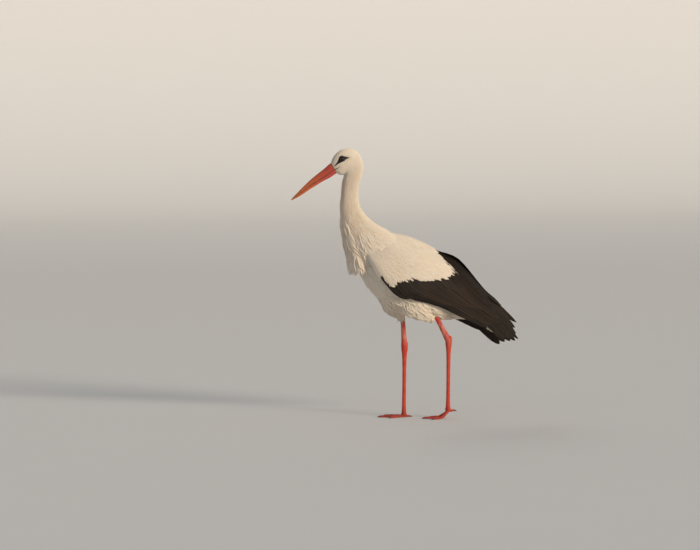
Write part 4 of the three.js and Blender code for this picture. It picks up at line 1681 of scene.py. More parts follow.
@dataclass
class SkinForm:
    """The one skin of head, neck, trunk, thighs and legs."""

    finish: Finish
    legs: dict[Side, Leg]

    def trunk(self) -> Piece:
        """Lofts head, neck and trunk, rounded off at both ends."""
        rings = body_rings(Loft(FLESH), np.array(TRUNK_STATIONS))
        rings[0], rings[-1] = rings[0].shrunk(0.55), rings[-1].shrunk(0.5)
        form = loft_rings("stork_skin", rings, 32)
        apply_modifier(form, "SUBSURF", levels=2)
        return form

    def simple(self, name: str, loft: Loft, stations: Array) -> Piece:
        """Lofts a thigh or the breast's plumed skin."""
        form = loft_rings(name, body_rings(loft, stations), 24)
        apply_modifier(form, "SUBSURF", levels=1)
        return form

    def lids(self, base: Piece) -> None:
        """Raises the lids' rims and cuts the eyes' sockets."""
        for side in Side:
            bpy.ops.object.select_all(action="DESELECT")
            bpy.ops.mesh.primitive_torus_add(
                major_segments=56, minor_segments=14,
                major_radius=LID_RADIUS * MM, minor_radius=LID_THICK * MM,
                location=place((EYE_X, LID_Y * side.value, EYE_Z)), rotation=(math.radians(90), 0, 0),
            )
            rim = bpy.context.active_object
            rim.data.transform(rim.matrix_world)
            rim.matrix_world = Matrix.Identity(4)
            points = vertex_array(rim)
            middle = np.array([EYE_X, EYE_Z])
            points[:, [0, 2]] = middle + (points[:, [0, 2]] - middle) * (LID_LONG, LID_HIGH)
            set_vertices(rim, points)
            combine(base, rim)
            socket = add_ball("socket", (EYE_X, EYE_Y * side.value, EYE_Z), (EYE_RADIUS + 0.15,) * 3)
            combine(base, socket, "DIFFERENCE")

    def soften_lids(self, base: Piece) -> None:
        """Smooths the skin round the lids and leaves their inner edges crisp."""
        points = vertex_array(base)
        near = np.zeros(len(points))
        for side in Side:
            far = np.linalg.norm(points - (EYE_X, LID_Y * side.value, EYE_Z), axis=1)
            near = np.maximum(near, np.clip((11.0 - far) / 3.0, 0, 1) * np.clip((far - 6.0) / 1.5, 0, 1))
        group = base.vertex_groups.new(name="soft")
        for i in np.nonzero(near > 0.02)[0]:
            group.add([int(i)], float(near[i]), "REPLACE")
        apply_modifier(base, "SMOOTH", factor=0.5, iterations=5, vertex_group="soft")
        base.vertex_groups.clear()

    def build(self) -> Piece:
        """Makes the skin and marks its zones."""
        base = self.trunk()
        self.lids(base)
        combine(base, self.simple("ruff_form", Loft(RUFF), np.arange(0.0, 6.01, 0.5)))
        for side in Side:
            thigh = Loft(THIGHS[side], side.value)
            combine(base, self.simple(f"thigh_form_{side.word}", thigh, np.arange(0.0, 4.01, 0.4)))
        for leg in self.legs.values():
            combine(base, leg.build())
        self.soften_lids(base)
        points = vertex_array(base)
        paint(base, "leg", self.bare_leg(points))
        depth = bare_face(points[:, 0], points[:, 2])
        head = (points[:, 0] < FACE_BACK) & (np.abs(points[:, 1]) > FACE_SIDE)
        paint(base, "face", np.where(head, np.clip(0.5 - depth / 1.2, 0, 1), 0))
        base.data.shade_smooth()
        nodes = ["head", "neck_upper", "neck_lower", "breast_plumes", "trunk", "thigh_left", "thigh_right"]
        for leg in self.legs.values():
            nodes += leg.nodes()
        return dress(base, self.finish, nodes)

    def bare_leg(self, points: Array) -> Array:
        """Tells how far each point belongs to the bare legs."""
        found = np.zeros(len(points))
        height = points[:, 2]
        for side, leg in self.legs.items():
            near = np.linalg.norm(points[:, [0, 1]] - leg.top_point[:2], axis=1) < 120
            mine = near & (points[:, 1] * side.value > 0) | (height < ALL_BARE)
            bare = np.clip((leg.top[1] - SHANK_FRINGE - height) / SHANK_BLEND, 0, 1)
            found = np.maximum(found, np.where(mine, bare, 0))
        return np.where(height < NONE_BARE, found, 0)


# ------------------------------------------------------------------ bill
@dataclass(frozen=True)
class BillSection:
    """A section of the bill: culmen, gape line and lower edge (x, z), and half width."""

    culmen: Pair
    edge: Pair
    gonys: Pair
    half: float


BILL = (
    BillSection((-236, 838), (-229, 823.5), (-222, 814), 12.5),
    BillSection((-248, 843), (-240, 820.5), (-231, 809), 13),
    BillSection((-269, 826), (-262, 805), (-250, 796), 12),
    BillSection((-291, 809), (-282, 792), (-272, 785), 10.5),
    BillSection((-312, 792), (-303, 779), (-294, 772), 9),
    BillSection((-334, 772), (-325, 764), (-317, 758), 7),
    BillSection((-356, 750), (-350, 745), (-344, 740), 4.6),
    BillSection((-371, 735), (-368, 731.5), (-366, 728), 2.8),
    BillSection((-380, 724), (-379.5, 722.6), (-379, 721.4), 1.2),
)
BILL_CORNERS = 44
UPPER_NARROW, LOWER_NARROW = 0.95, 0.88  # half width of each half of the bill, as a share of the whole bill's
GAPE_GAP, GAPE_DARK_REACH = 0.35, 5.0  # height of each half's edge over the gape line, and how far the darkening beside the gape reaches
EDGE_WIDTH, INNER_WIDTH = 0.93, 0.98
RIDGE_PINCH = 0.16
NOSTRIL, NOSTRIL_RADII, NOSTRIL_TURN = (-264, 10.3, 818.5), (8.0, 2.4, 1.3), math.radians(-38)


@dataclass
class Bill:
    """The two halves of the bill, meeting along the gape."""

    finish: Finish

    def half(self, name: str, upper: bool) -> Piece:
        """Lofts one half: rings centred on the gape line, flattened beyond it."""
        table = np.array([(*s.culmen, *s.edge, *s.gonys, s.half) for s in BILL], float)
        rings = []
        for row in smooth_run(table, np.linspace(0, len(BILL) - 1, 41)):
            rise = (row[0:2] if upper else row[4:6]) - row[2:4]
            rings.append(Ring((row[2], 0.0, row[3]), (rise[0], 0, rise[1]), (0, row[6], 0)))
        form = loft_rings(name, rings, BILL_CORNERS)
        points = vertex_array(form)
        ring_of = np.arange(len(points)) // BILL_CORNERS
        rise = np.array([ring.first for ring in rings])[ring_of]
        middle = np.array([ring.centre for ring in rings])[ring_of]
        tall = np.linalg.norm(rise, axis=1)
        up = rise / tall[:, None]
        away = points - middle
        high = np.sum(away * up, axis=1) / tall
        broad = away[:, 1] * (UPPER_NARROW if upper else LOWER_NARROW)
        ridge = 1 - RIDGE_PINCH * np.clip(high, 0, 1) ** 0.7 * (1 - np.abs(high))
        gap = GAPE_GAP / tall
        level = gap + np.maximum(high, 0) * (1 - gap)
        points = middle + up * (level * tall)[:, None]
        outer = ridge * np.where(high > 0, 1.0, EDGE_WIDTH)
        points[:, 1] = broad * np.where(high < -0.001, INNER_WIDTH, outer)
        set_vertices(form, points)
        paint(form, "gape", np.clip(1 - level * tall / GAPE_DARK_REACH, 0, 1))
        tidy_normals(form)
        return form

    def build(self) -> list[Piece]:
        """Makes both halves and sinks the nostrils."""
        made = []
        for name, upper in (("bill_upper", True), ("bill_lower", False)):
            form = self.half(name + "_horn", upper)
            for side in Side if upper else ():
                slit = add_ball("nostril", (0, 0, 0), NOSTRIL_RADII)
                x, y, z = NOSTRIL
                turn_ball(slit, (0, 0, 0), NOSTRIL_TURN, "Y", (x, y * side.value, z))
                combine(form, slit, "DIFFERENCE")
            activate(form)
            bpy.ops.object.shade_smooth_by_angle(angle=math.radians(42))
            made.append(dress(form, self.finish, [name]))
        return made


CORNEA, CORNEA_RADIUS, HIDDEN = 0.35, 4.6, 9.0  # the cornea's bulge and radius, and what marks the eye's back


@dataclass
class Eyes:
    """The two eyes, each a ball with a slightly bulging cornea."""

    finish: Finish

    def build(self) -> list[Piece]:
        """Makes both eyes."""
        made = []
        for side in Side:
            middle = np.array([EYE_X, EYE_Y * side.value, EYE_Z])
            ball = add_ball(f"eyeball_{side.word}", middle, (EYE_RADIUS,) * 3)
            turn_ball(ball, middle, math.radians(90), "X", middle)
            points = vertex_array(ball)
            off = np.hypot(points[:, 0] - EYE_X, points[:, 2] - EYE_Z)
            front = (points[:, 1] - middle[1]) * side.value > 0
            bulge = CORNEA * np.clip(1 - (off / CORNEA_RADIUS) ** 2, 0, 1)
            points[:, 1] += side.value * np.where(front, bulge, 0)
            set_vertices(ball, points)
            paint(ball, "off_axis", np.where(front, off, HIDDEN))
            ball.data.shade_smooth()
            made.append(dress(ball, self.finish, [f"eye_{side.word}"]))
        return made


# ------------------------------------------------------------------ wings
@dataclass(frozen=True)
class Fan:
    """A row of long feathers laid over a wing, each from a root to a tip given as (section, way down).

    Attributes:
        count: how many.
        roots: first and last root.
        tips: first and last tip.
        width: full width, first and last.
        low: height of the first feather's root and tip over the wing.
        high: the same for the last feather.
        bow: how far the feathers curve towards the lower edge, as a share of the way down.
        ragged: spread of the tips along the wing, in sections.
    """

    count: int
    roots: tuple[tuple[float, float], tuple[float, float]]
    tips: tuple[tuple[float, float], tuple[float, float]]
    width: tuple[float, float]
    low: tuple[float, float]
    high: tuple[float, float]
    bow: float = 0.03
    ragged: float = 0.07


SECONDARIES = Fan(
    18, ((2.0, 0.90), (5.9, 0.34)), ((6.9, 0.99), (10.5, 0.46)), (24, 34), (0.4, 1.2), (2.2, 4.0)
)
GREATER_COVERTS = Fan(
    18, ((1.3, 0.90), (5.6, 0.22)), ((3.6, 0.99), (7.7, 0.50)), (20, 27), (1.2, 2.0), (3.4, 4.6), 0.05, 0.16
)
FOLDED_PRIMARIES = Fan(
    10, ((4.4, 0.97), (7.0, 0.50)), ((10.2, 1.06), (11.7, 0.50)), (20, 26), (-0.6, 0.2), (1.4, 2.0), 0.0
)
TERTIALS = Fan(
    8, ((5.6, 0.44), (4.6, 0.08)), ((10.9, 0.58), (8.9, 0.15)), (32, 38), (2.8, 4.2), (4.6, 6.8), 0.02
)
EDGE_FEATHERS = Fan(
    4, ((0.55, 1.0), (1.5, 0.995)), ((1.9, 1.015), (3.2, 1.015)), (6, 9), (1.6, 2.6), (1.8, 3.0), 0.0
)


@dataclass
class Wing:
    """A folded wing: its core, its black flight feathers and coverts, its white coverts and scapulars."""

    side: Side
    black: Finish
    black_covert: Finish
    white: Finish
    seed: int

    def __post_init__(self) -> None:
        """Reads the wing's surface."""
        self.surface = WingSurface(self.side)
        self.rng = np.random.default_rng(self.seed)

    def core(self) -> Piece:
        """Makes the wing's own body from a grid laid on its surface and thickened inwards."""
        form, along, down = add_grid(f"wing_core_{self.side.word}", 66, 26)
        s = (along + 0.5) * 10.0 - 0.4
        set_vertices(form, self.surface.point(s, (down + 0.5) * 0.96 + 0.02))
        tidy_normals(form)
        normal = np.array(form.data.polygons[len(form.data.polygons) // 2].normal)
        offset = -1.0 if normal[1] * self.side.value > 0 else 1.0
        depth = form.vertex_groups.new(name="depth")
        for i, weight in enumerate(np.interp(s, (-0.4, 4.5, 8, 9.6), (1.0, 1.0, 0.3, 0.15))):
            depth.add([i], float(weight), "REPLACE")
        apply_modifier(
            form, "SOLIDIFY", thickness=16.0 * MM, offset=offset, use_even_offset=False,
            vertex_group="depth", thickness_vertex_group=0.0,
        )
        count = len(form.data.vertices)
        paint(form, "along", np.full(count, 0.6))
        paint(form, "tone", np.full(count, 0.4))
        form.data.shade_smooth()
        dress(form, self.black_covert, [f"wing_{self.side.word}_coverts"])
        form.data.materials.append(self.white.build())
        for face in form.data.polygons:
            x, _y, z = np.array(face.center) / MM - SHIFT
            face.material_index = int(inside_outline(np.array(x + 6.0), np.array(z - 4.0), WHITE_EDGE))
        return form

    def fan(self, fan: Fan) -> Batch:
        """Lays a row of long feathers."""
        share = np.linspace(0, 1, fan.count)
        roots = np.array(fan.roots[0]) + share[:, None] * (np.array(fan.roots[1]) - fan.roots[0])
        tips = np.array(fan.tips[0]) + share[:, None] * (np.array(fan.tips[1]) - fan.tips[0])
        tips = tips + self.rng.normal(0, (fan.ragged, 0.006), tips.shape)
        steps = np.linspace(0, 1, 24)
        u = roots[:, :1] + (tips[:, :1] - roots[:, :1]) * steps
        v = roots[:, 1:] + (tips[:, 1:] - roots[:, 1:]) * steps + fan.bow * np.sin(np.pi * steps)
        low = np.array(fan.low)[:, None]
        high = np.array(fan.high)[:, None]
        ends = low + (high - low) * share
        rise = ends[0][:, None] + (ends[1] - ends[0])[:, None] * steps
        rise = rise + self.rng.normal(0, 0.12, fan.count)[:, None]
        _along, _across, outward = self.surface.spans(u, v)
        lines = self.surface.point(u, v) + outward * rise[..., None]
        width = np.interp(share, (0, 1), fan.width) * self.rng.uniform(0.95, 1.05, fan.count)
        place = wing_unwrap(roots[:, 0], roots[:, 1])
        tone = self.rng.random(fan.count)
        return stretch(Quills(lines, outward, width, tone, place, -0.14 * self.surface.turn), 0.02)

    def primary_tips(self) -> Batch:
        """Lays the free ends of the longest flight feathers."""
        loose = 1.0 if self.side is Side.RIGHT else 0.0
        table = np.array([(*root, *tip, width) for root, tip, width in PRIMARIES], float)
        rows = smooth_run(table, np.linspace(0, 4, 7))
        drop = loose * DROOP * 1.1 * np.linspace(0, 1, 7)
        mirror = np.array([1.0, self.side.value, 1.0])
        roots, tips = rows[:, 0:3] * mirror, rows[:, 3:6] * mirror
        roots[:, 2] -= drop
        tips[:, 2] -= drop
        roots = roots - 0.55 * (tips - roots)
        steps = np.linspace(0, 1, 24)[None, :, None]
        lines = roots[:, None] + (tips - roots)[:, None] * steps
        lines[:, :, 2] += 5.0 * np.sin(np.pi * steps[..., 0])
        lines[:, :, 1] += self.side.value * np.linspace(0, 3.5, 7)[:, None]
        facing = np.broadcast_to(unit(np.array([0.12, self.side.value, 0.35])), lines.shape)
        place = np.stack([np.linspace(0.2, 0.8, 7), np.full(7, 0.97)], axis=-1)
        width = np.maximum(rows[:, 6] * (0.85 + 0.35 * loose), 15)
        return stretch(Quills(lines, facing, width, self.rng.random(7), place))

    def ridge(self) -> Batch:
        """Lays the innermost feathers along the wing's upper edge, where both wings meet over the rump."""
        count = 5
        steps = np.linspace(0, 1, 24)
        start, stop = np.linspace(4.1, 6.4, count), np.linspace(8.9, 11.0, count)
        s = start[:, None] + (stop - start)[:, None] * steps
        lines = smooth_run(self.surface.uppers, s)
        lines[..., 1] = self.side.value * np.linspace(3, 12, count)[:, None] * (1 - 0.35 * steps)
        swell = np.sin(np.pi * np.clip(steps + 0.12, 0, 1)) ** 0.5
        lines[..., 2] += np.linspace(5.0, 2.0, count)[:, None] * swell
        along = np.gradient(lines, axis=1)
        facing = unit(np.stack([-along[..., 2], np.zeros_like(s), along[..., 0]], axis=-1))
        facing = unit(facing + np.array([0, 0.45 * self.side.value, 0]))
        place = np.stack([np.full(count, 0.05), 0.04 + 0.92 * start / 11], axis=-1)
        return stretch(Quills(lines, facing, np.full(count, 30.0), self.rng.random(count), place))

    def black_feathers(self) -> list[Piece]:
        """Makes the flight feathers and the black coverts."""
        name = self.side.word
        rows = [self.fan(FOLDED_PRIMARIES), self.fan(SECONDARIES), self.fan(TERTIALS), self.ridge()]
        flight = join_feathers(f"flight_feathers_{name}", rows)
        tips = join_feathers(f"primaries_{name}", [self.primary_tips()])
        coverts = join_feathers(f"black_coverts_{name}", [self.fan(GREATER_COVERTS), self.fan(EDGE_FEATHERS)])
        return [
            dress(flight, self.black, [f"wing_{name}_secondaries"]),
            dress(tips, self.black, [f"wing_{name}_primaries"]),
            dress(coverts, self.black_covert, []),
        ]

    def white_feathers(self) -> Piece:
        """Makes the white coverts and scapulars, whose tips end on the black in a jagged line."""
        found = []
        s, row = -0.45, 0
        while s < 7.2:
            c = np.linspace(-0.04, 1.04, 400)
            _along, across_mm, _out = self.surface.spans(np.full_like(c, s), c)
            length = np.interp(s, (0, 2, 4, 7), (15, 24, 33, 40)) * np.interp(c, (0, 0.5, 1), (1.2, 1.0, 0.85))
            density = across_mm / (length * 0.27 * 0.5)
            total = np.concatenate([[0], np.cumsum((density[1:] + density[:-1]) / 2 * np.diff(c))])
            count = int(total[-1])
            share = (np.arange(count) + 0.5 * (row % 2) + self.rng.uniform(-0.3, 0.3, count)) / count
            place = np.interp(np.clip(share, 0, 1) * total[-1], total, c)
            along_mm, _across, _out = self.surface.spans(np.full(count, s), place)
            step = float(np.interp(s, (0, 2, 4, 7), (15, 24, 33, 40)) * 0.2 / along_mm.mean())
            found.append(np.stack([s + self.rng.uniform(-0.5, 0.5, count) * step, place], axis=-1))
            s += step
            row += 1
        u, v = np.concatenate(found).T
        count = len(u)
        length = np.interp(u, (0, 2, 4, 7), (15, 24, 33, 40)) * np.interp(v, (0, 0.5, 1), (1.2, 1.0, 0.85))
        length = length * self.rng.uniform(0.85, 1.15, count)
        yaw = self.surface.turn * (0.22 + self.rng.normal(0, 0.10, count))
        depth = np.interp(u, (-0.4, 1, 3, 6), (1.5, 4.0, 5.6, 6.6)) * self.rng.uniform(0.9, 1.08, count)
        depth = depth * np.interp(v, (0, 0.25), (0.4, 1.0))
        roots = Roots(u, v, yaw, length, length * 0.27 * self.rng.uniform(0.85, 1.15, count), depth, depth * 0.25, self.rng.random(count))
        along_mm, across_mm, _out = self.surface.spans(u, v)
        tip = self.surface.point(u + np.cos(yaw) * length / along_mm, v + self.surface.turn * np.sin(yaw) * length / across_mm)
        middle = self.surface.point(u + 0.5 * np.cos(yaw) * length / along_mm, v)
        jitter = self.rng.normal(0, 2.5, count) * np.clip(v * 2, 0.2, 1)
        kept = inside_outline(tip[:, 0], tip[:, 2] + jitter, WHITE_EDGE) & inside_outline(middle[:, 0], middle[:, 2], WHITE_EDGE)
        kept &= ((v < 0.968) | (u < 0.9)) & (v > 0.02)
        batch = lay(self.surface, VaneShape.CONTOUR, roots.keep(kept), wing_unwrap)
        name = self.side.word
        return dress(join_feathers(f"white_coverts_{name}", [batch]), self.white, [])

    def build(self) -> list[Piece]:
        """Makes the whole wing."""
        return [self.core(), *self.black_feathers(), self.white_feathers()]


# ------------------------------------------------------------------ tail
@dataclass
class Tail:
    """The white tail: twelve feathers fanned a little, with coverts over and under their bases."""

    feather: Finish
    covert: Finish
    seed: int = 71

    def build(self) -> list[Piece]:
        """Makes the tail."""
        rng = np.random.default_rng(self.seed)
        place = np.linspace(-5.5, 5.5, 12)
        steps = np.linspace(0, 1, 24)
        start = np.stack([np.full(12, 192.0), place * 2.6, 360 - np.abs(place) * 1.6], axis=-1)
        stop = np.stack([318 - np.abs(place) * 1.4, place * 6.0, 279.0 - np.abs(place) * 0.9], axis=-1)
        lines = start[:, None] + (stop - start)[:, None] * steps[None, :, None]
        lines[:, :, 2] += 4.0 * np.sin(np.pi * steps) + (1.8 - 0.5 * np.abs(place))[:, None]
        facing = np.stack([np.full(12, 0.55), place * 0.05, np.full(12, 0.83)], axis=-1)
        facing = np.broadcast_to(unit(facing)[:, None], lines.shape)
        spots = np.stack([0.5 + place * 0.03, np.full(12, 0.9)], axis=-1)
        fan = stretch(Quills(lines, facing, np.full(12, 25.0), rng.random(12), spots), patch=0.015)
        tail = join_feathers("tail_fan", [fan])
        made = [dress(tail, self.feather, ["tail"])]
        loft = Loft(TAIL)
        sizes = FeatherSizes((0, 2, 5), (30, 34, 30), (34, 38, 30), (0.4, 0.4, 0.4), 0.24, 0.5)
        roots = rows_round(loft, 0.0, 2.2, sizes, rng)
        batch = lay(loft, VaneShape.CONTOUR, roots, round_unwrap(loft))
        made.append(dress(join_feathers("tail_coverts", [batch]), self.covert, []))
        return made


# ------------------------------------------------------------------ coat
BODY_SIZES = FeatherSizes(
    stations=(0, 2, 4, 6, 8, 10, 12, 14, 16, 18, 20, 22, 24),
    back=(4.5, 5.5, 7, 8.5, 11, 15, 20, 28, 30, 30, 32, 34, 34),
    front=(4.5, 5.5, 7, 9, 12, 17, 26, 34, 32, 30, 30, 32, 34),
    slim=(0.42, 0.40, 0.36, 0.34, 0.28, 0.25, 0.24, 0.28, 0.36, 0.40, 0.40, 0.40, 0.40),
    pitch=0.18,
    cover=0.46,
    seat=0.35,
)
LASH_SIZES = FeatherSizes((0, 5), (2.6, 3.2), (2.6, 3.2), (0.36, 0.36), 0.3, 0.6, 0.75)
PLUME_SIZES = FeatherSizes((0, 1, 3, 6), (24, 34, 42, 40), (28, 40, 50, 50), (0.2, 0.16, 0.15, 0.15), 0.12, 0.46, 0.45)
BREAST_SIZES = FeatherSizes((0, 1, 2, 4), (24, 34, 42, 42), (26, 38, 46, 46), (0.2, 0.16, 0.16, 0.16), 0.13, 0.5, 0.25)
VENT_SIZES = FeatherSizes((0, 24), (34, 34), (34, 34), (0.22, 0.22), 0.2, 0.6, 0.6)
MANTLE_SIZES = FeatherSizes((0, 2, 5), (24, 34, 36), (24, 34, 36), (0.32, 0.30, 0.30), 0.17, 0.48, 0.3)
THIGH_SIZES = FeatherSizes((0, 2, 3, 4), (34, 34, 26, 15), (34, 34, 26, 15), (0.26, 0.22, 0.22, 0.24), 0.15, 0.46, 0.35)


def wing_shadow(points: Array, margin: float = 10.0) -> Array:
    """Tells which points of the trunk a wing hides, a margin in from the wing's outline.

    Args:
        points: in the bird's frame.
        margin: distance in from the outline, as a share of the way to its middle.

    Returns:
        True for hidden points.
    """
    upper = np.array([w.upper for w in WING], float)[:, [0, 2]]
    lower = np.array([w.lower for w in WING], float)[:, [0, 2]]
    chord = lower - upper
    inset = margin / np.linalg.norm(chord, axis=1, keepdims=True)
    outline = np.vstack([upper[1:] - chord[1:] * 0.2, (lower - chord * inset)[:0:-1]])
    return inside_outline(points[:, 0], points[:, 2], [tuple(p) for p in outline])


@dataclass
class Coat:
    """The white feathers of head, neck, trunk and thighs, laid tract by tract."""

    face: Finish
    small: Finish
    large: Finish
    seed: int = 5

    def tract(self, name: str, loft: Loft, span: tuple[float, float], sizes: FeatherSizes, shape: VaneShape, finish: Finish, keep: Callable[[Loft, Roots], Array] | None = None, fray: float = 0.02) -> Piece:
        """Makes one piece of the coat.

        Args:
            name: the piece's name.
            loft: the form that it covers.
            span: first and last station.
            sizes: the feathers' sizes.
            shape: their outline.
            finish: their finish.
            keep: tells which roots grow a feather.
            fray: share of feathers that stray from their lie and stand out a little.

        Returns:
            The piece.
        """
        self.seed += 1
        rng = np.random.default_rng(self.seed)
        roots = rows_round(loft, span[0], span[1], sizes, rng)
        if keep:
            roots = roots.keep(keep(loft, roots))
        if shape is VaneShape.PLUME:
            blend = np.clip((0.85 - np.sin(roots.v)) / 1.1, 0.1, 1)
            roots = roots.keep(rng.random(len(roots.u)) < blend * 1.6)
            blend = np.clip((0.85 - np.sin(roots.v)) / 1.1, 0.1, 1)
            roots.depth, roots.base = roots.depth * blend, roots.base * blend
            roots.yaw = roots.yaw + np.sign(np.cos(roots.v)) * np.clip(np.sin(roots.v), 0, 1) * rng.uniform(-0.05, 0.3, len(roots.u))
        stray = rng.random(len(roots.u)) < fray
        roots.yaw = roots.yaw + np.where(stray, rng.normal(0, 0.28, len(roots.u)), 0)
        roots.depth = roots.depth + np.where(stray, roots.length * rng.uniform(0.01, 0.06 + 0.22 * fray, len(roots.u)), 0)
        batch = lay(loft, shape, roots, round_unwrap(loft))
        LOG.info("%s: %d feathers", name, len(roots.u))
        return dress(join_feathers(name, [batch]), finish, [])

    @staticmethod
    def off_face(loft: Loft, roots: Roots) -> Array:
        """Roots whose feathers stay clear of the bare face."""
        clear = np.ones(len(roots.u), bool)
        along_mm, _across, _out = loft.spans(roots.u, roots.v)
        for share in (0.0, 0.35, 0.7, 1.0):
            points = loft.point(roots.u + share * roots.length / along_mm, roots.v)
            side = np.abs(points[:, 1]) > 5
            clear &= (bare_face(points[:, 0], points[:, 2]) > 0.4) | ~side
        return clear

    @staticmethod
    def round_face(loft: Loft, roots: Roots) -> Array:
        """Roots of the tiny feathers that edge the bare face."""
        points = loft.point(roots.u, roots.v)
        near = bare_face(points[:, 0], points[:, 2]) < 6.5
        return Coat.off_face(loft, roots) & near & (np.abs(points[:, 1]) > 5)

    @staticmethod
    def on_top(loft: Loft, roots: Roots) -> Array:
        """Roots on the upper side of the back whose feathers end before the black."""
        along_mm, _across, _out = loft.spans(roots.u, roots.v)
        tip = loft.point(roots.u + roots.length / along_mm, roots.v)
        return (np.sin(roots.v) > 0.25) & (tip[:, 0] < 106)

    @staticmethod
    def in_front(loft: Loft, roots: Roots) -> Array:
        """Roots on the front of the breast whose plumes end over its ragged lower line."""
        along_mm, _across, _out = loft.spans(roots.u, roots.v)
        tip = loft.point(roots.u + roots.length / along_mm, roots.v)
        rough = 7 * np.sin(roots.tone * 91)
        return (np.sin(roots.v) < 0.55) & (tip[:, 2] + rough > 458 + 0.45 * (tip[:, 0] + 195))

    @staticmethod
    def beside(loft: Loft, roots: Roots) -> Array:
        """Roots on the breast's sides, down to where the shoulders begin."""
        return (np.sin(roots.v) < 0.35) & (np.sin(roots.v) > -0.97)

    @staticmethod
    def below(loft: Loft, roots: Roots) -> Array:
        """Roots on the underside."""
        return np.sin(roots.v) < -0.3

    @staticmethod
    def off_wings(loft: Loft, roots: Roots) -> Array:
        """Roots that no wing hides."""
        return ~wing_shadow(loft.point(roots.u, roots.v))

    def build(self) -> list[Piece]:
        """Makes every tract."""
        body, ruff = Loft(FLESH), Loft(PLUMES)
        made = [
            self.tract("coat_face", body, (-0.2, 5.0), BODY_SIZES, VaneShape.FACE, self.face, self.off_face, 0.0),
            self.tract("coat_lashes", body, (-0.2, 5.0), LASH_SIZES, VaneShape.FACE, self.face, self.round_face, 0.0),
            self.tract("coat_nape", body, (4.9, 8.2), BODY_SIZES, VaneShape.HACKLE, self.small),
            self.tract("coat_neck", body, (7.9, 12.4), BODY_SIZES, VaneShape.HACKLE, self.small),
            self.tract("coat_breast", body, (12.2, 17.0), BODY_SIZES, VaneShape.CONTOUR, self.large, self.off_wings),
            self.tract("coat_trunk", body, (16.8, 24.4), BODY_SIZES, VaneShape.CONTOUR, self.large, self.off_wings, 0.10),
            self.tract("coat_plumes", ruff, (0.0, 4.7), PLUME_SIZES, VaneShape.PLUME, self.small, self.in_front, 0.08),
            self.tract("coat_breast_sides", Loft(BREAST), (0.1, 3.25), BREAST_SIZES, VaneShape.PLUME, self.small, self.beside, 0.06),
            self.tract("coat_vent", body, (18.2, 22.6), VENT_SIZES, VaneShape.PLUME, self.large, self.below, 0.5),
        ]
        mantle = Loft(MANTLE)
        made.append(self.tract("coat_mantle", mantle, (0.0, 3.95), MANTLE_SIZES, VaneShape.CONTOUR, self.large, self.on_top))
        for side in Side:
            loft = Loft((*THIGHS[side], THIGH_HEMS[side]), side.value)
            made.append(self.tract(f"coat_thigh_{side.word}", loft, (0.1, 3.35), THIGH_SIZES, VaneShape.PLUME, self.large, None, 0.22))
        return made


# ------------------------------------------------------------------ studio
@dataclass(frozen=True)
class Lamp:
    """A far soft light: where it comes from, what it looks at, its apparent size, strength and colour."""

    name: str
    place: tuple[float, float, float]
    target: tuple[float, float, float]
    size: float
    power: float
    colour: tuple[float, float, float]


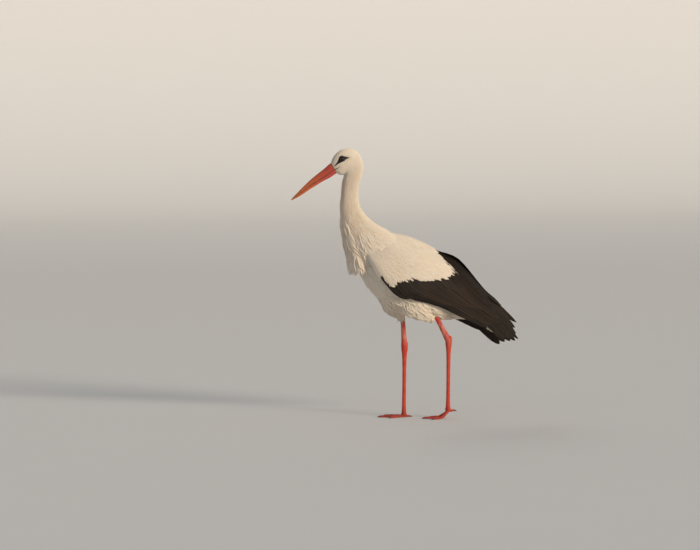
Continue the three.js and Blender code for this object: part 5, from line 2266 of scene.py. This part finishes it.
@dataclass
class Studio:
    """Pale floor running up into a backdrop, soft lights and the camera."""

    paper: Finish
    azimuth: float = math.radians(-10)
    elevation: float = math.radians(4)
    distance: float = 12.0
    middle: tuple[float, float] = (-181.5, 471.9)
    width: float = 2.31
    lamps: tuple[Lamp, ...] = (
        Lamp("key", (2.9, -3.0, 1.55), (0, 0, 0.45), math.radians(18), 2.8, (1.0, 0.85, 0.67)),
        Lamp("fill", (-3.2, -2.4, 2.0), (0, 0, 0.5), math.radians(60), 0.12, (0.95, 0.96, 1.0)),
        Lamp("back", (-1.0, 3.4, 2.6), (0, 0, 0.5), math.radians(30), 0.45, (1.0, 0.95, 0.88)),
    )

    def axes(self) -> tuple[Vector, Vector, Vector]:
        """The picture's right, up and the way back to the camera."""
        a, e = self.azimuth, self.elevation
        right = Vector((math.cos(a), math.sin(a), 0))
        up = Vector((-math.sin(a) * math.sin(e), math.cos(a) * math.sin(e), math.cos(e)))
        back = Vector((math.sin(a) * math.cos(e), -math.cos(a) * math.cos(e), math.sin(e)))
        return right, up, back

    def camera(self) -> Piece:
        """Adds the camera."""
        right, up, back = self.axes()
        target = place(right * self.middle[0] + up * self.middle[1])
        data = bpy.data.cameras.new("camera")
        data.sensor_width = 36
        data.lens = 36 * self.distance / self.width
        data.clip_end = 60
        made = bpy.data.objects.new("camera", data)
        bpy.context.scene.collection.objects.link(made)
        turn = Matrix((right, up, back)).transposed().to_4x4()
        made.matrix_world = Matrix.Translation(target + back * self.distance) @ turn
        bpy.context.scene.camera = made
        return made

    def floor(self) -> Piece:
        """Makes the floor: a wide plate, pulled up behind the bird into a curve."""
        bpy.ops.object.select_all(action="DESELECT")
        bpy.ops.mesh.primitive_grid_add(x_subdivisions=8, y_subdivisions=90, size=1)
        form = bpy.context.active_object
        form.name = "studio_floor"
        flat = np.array([v.co[:] for v in form.data.vertices])
        x = flat[:, 0] * 80
        run = (flat[:, 1] + 0.5) * 36 - 14
        bend = np.clip((run - 12.0) / 3.0, 0, math.pi / 2)
        y = np.where(run < 12, run, 12 + 3 * np.sin(bend))
        z = np.where(run < 12, 0, 3 * (1 - np.cos(bend)) + np.maximum(run - 12 - 3 * math.pi / 2, 0))
        points = np.stack([x, y, z], axis=-1)
        form.data.vertices.foreach_set("co", points.astype(np.float32).ravel())
        form.data.update()
        form.data.shade_smooth()
        form.data.materials.append(self.paper.build())
        return form

    def build(self) -> None:
        """Sets the stage."""
        self.floor()
        for lamp in self.lamps:
            data = bpy.data.lights.new(lamp.name, "SUN")
            data.angle = lamp.size
            data.energy = lamp.power
            data.color = lamp.colour
            made = bpy.data.objects.new(lamp.name, data)
            bpy.context.scene.collection.objects.link(made)
            made.location = lamp.place
            made.rotation_euler = (Vector(lamp.target) - Vector(lamp.place)).to_track_quat("-Z", "Y").to_euler()
        world = bpy.data.worlds.new("studio")
        world.use_nodes = True
        background = world.node_tree.nodes["Background"]
        background.inputs[0].default_value = (0.88, 0.90, 0.93, 1)
        background.inputs[1].default_value = 0.26
        bpy.context.scene.world = world
        bpy.context.scene.view_settings.view_transform = "Standard"
        self.camera()


# ------------------------------------------------------------------ the bird
@dataclass
class Stork:
    """The whole bird."""

    legs: dict[Side, Leg]

    def build(self) -> list[Piece]:
        """Makes every piece."""
        made = [SkinForm(SKIN, self.legs).build()]
        made += Bill(HORN).build()
        made += Eyes(EYE_FINISH).build()
        made += Claws(self.legs, CLAW_FINISH).build()
        made += Coat(FACE_COAT, SMALL_COAT, LARGE_COAT).build()
        for side, seed in ((Side.LEFT, 21), (Side.RIGHT, 22)):
            made += Wing(side, FLIGHT_BLACK, COVERT_BLACK, LARGE_COAT, seed).build()
        made += Tail(TAIL_WHITE, LARGE_COAT).build()
        return made


def main() -> None:
    """Builds the bird and its studio, and logs how many pieces and triangles it made."""
    logging.basicConfig(level=logging.INFO, format="%(name)s: %(message)s")
    pieces = Stork(LEGS).build()
    triangles = 0
    for piece in pieces:
        piece.data.calc_loop_triangles()
        triangles += len(piece.data.loop_triangles)
    LOG.info("%d pieces, %d triangles", len(pieces), triangles)
    Studio(PAPER).build()


if __name__ == "__main__":
    main()
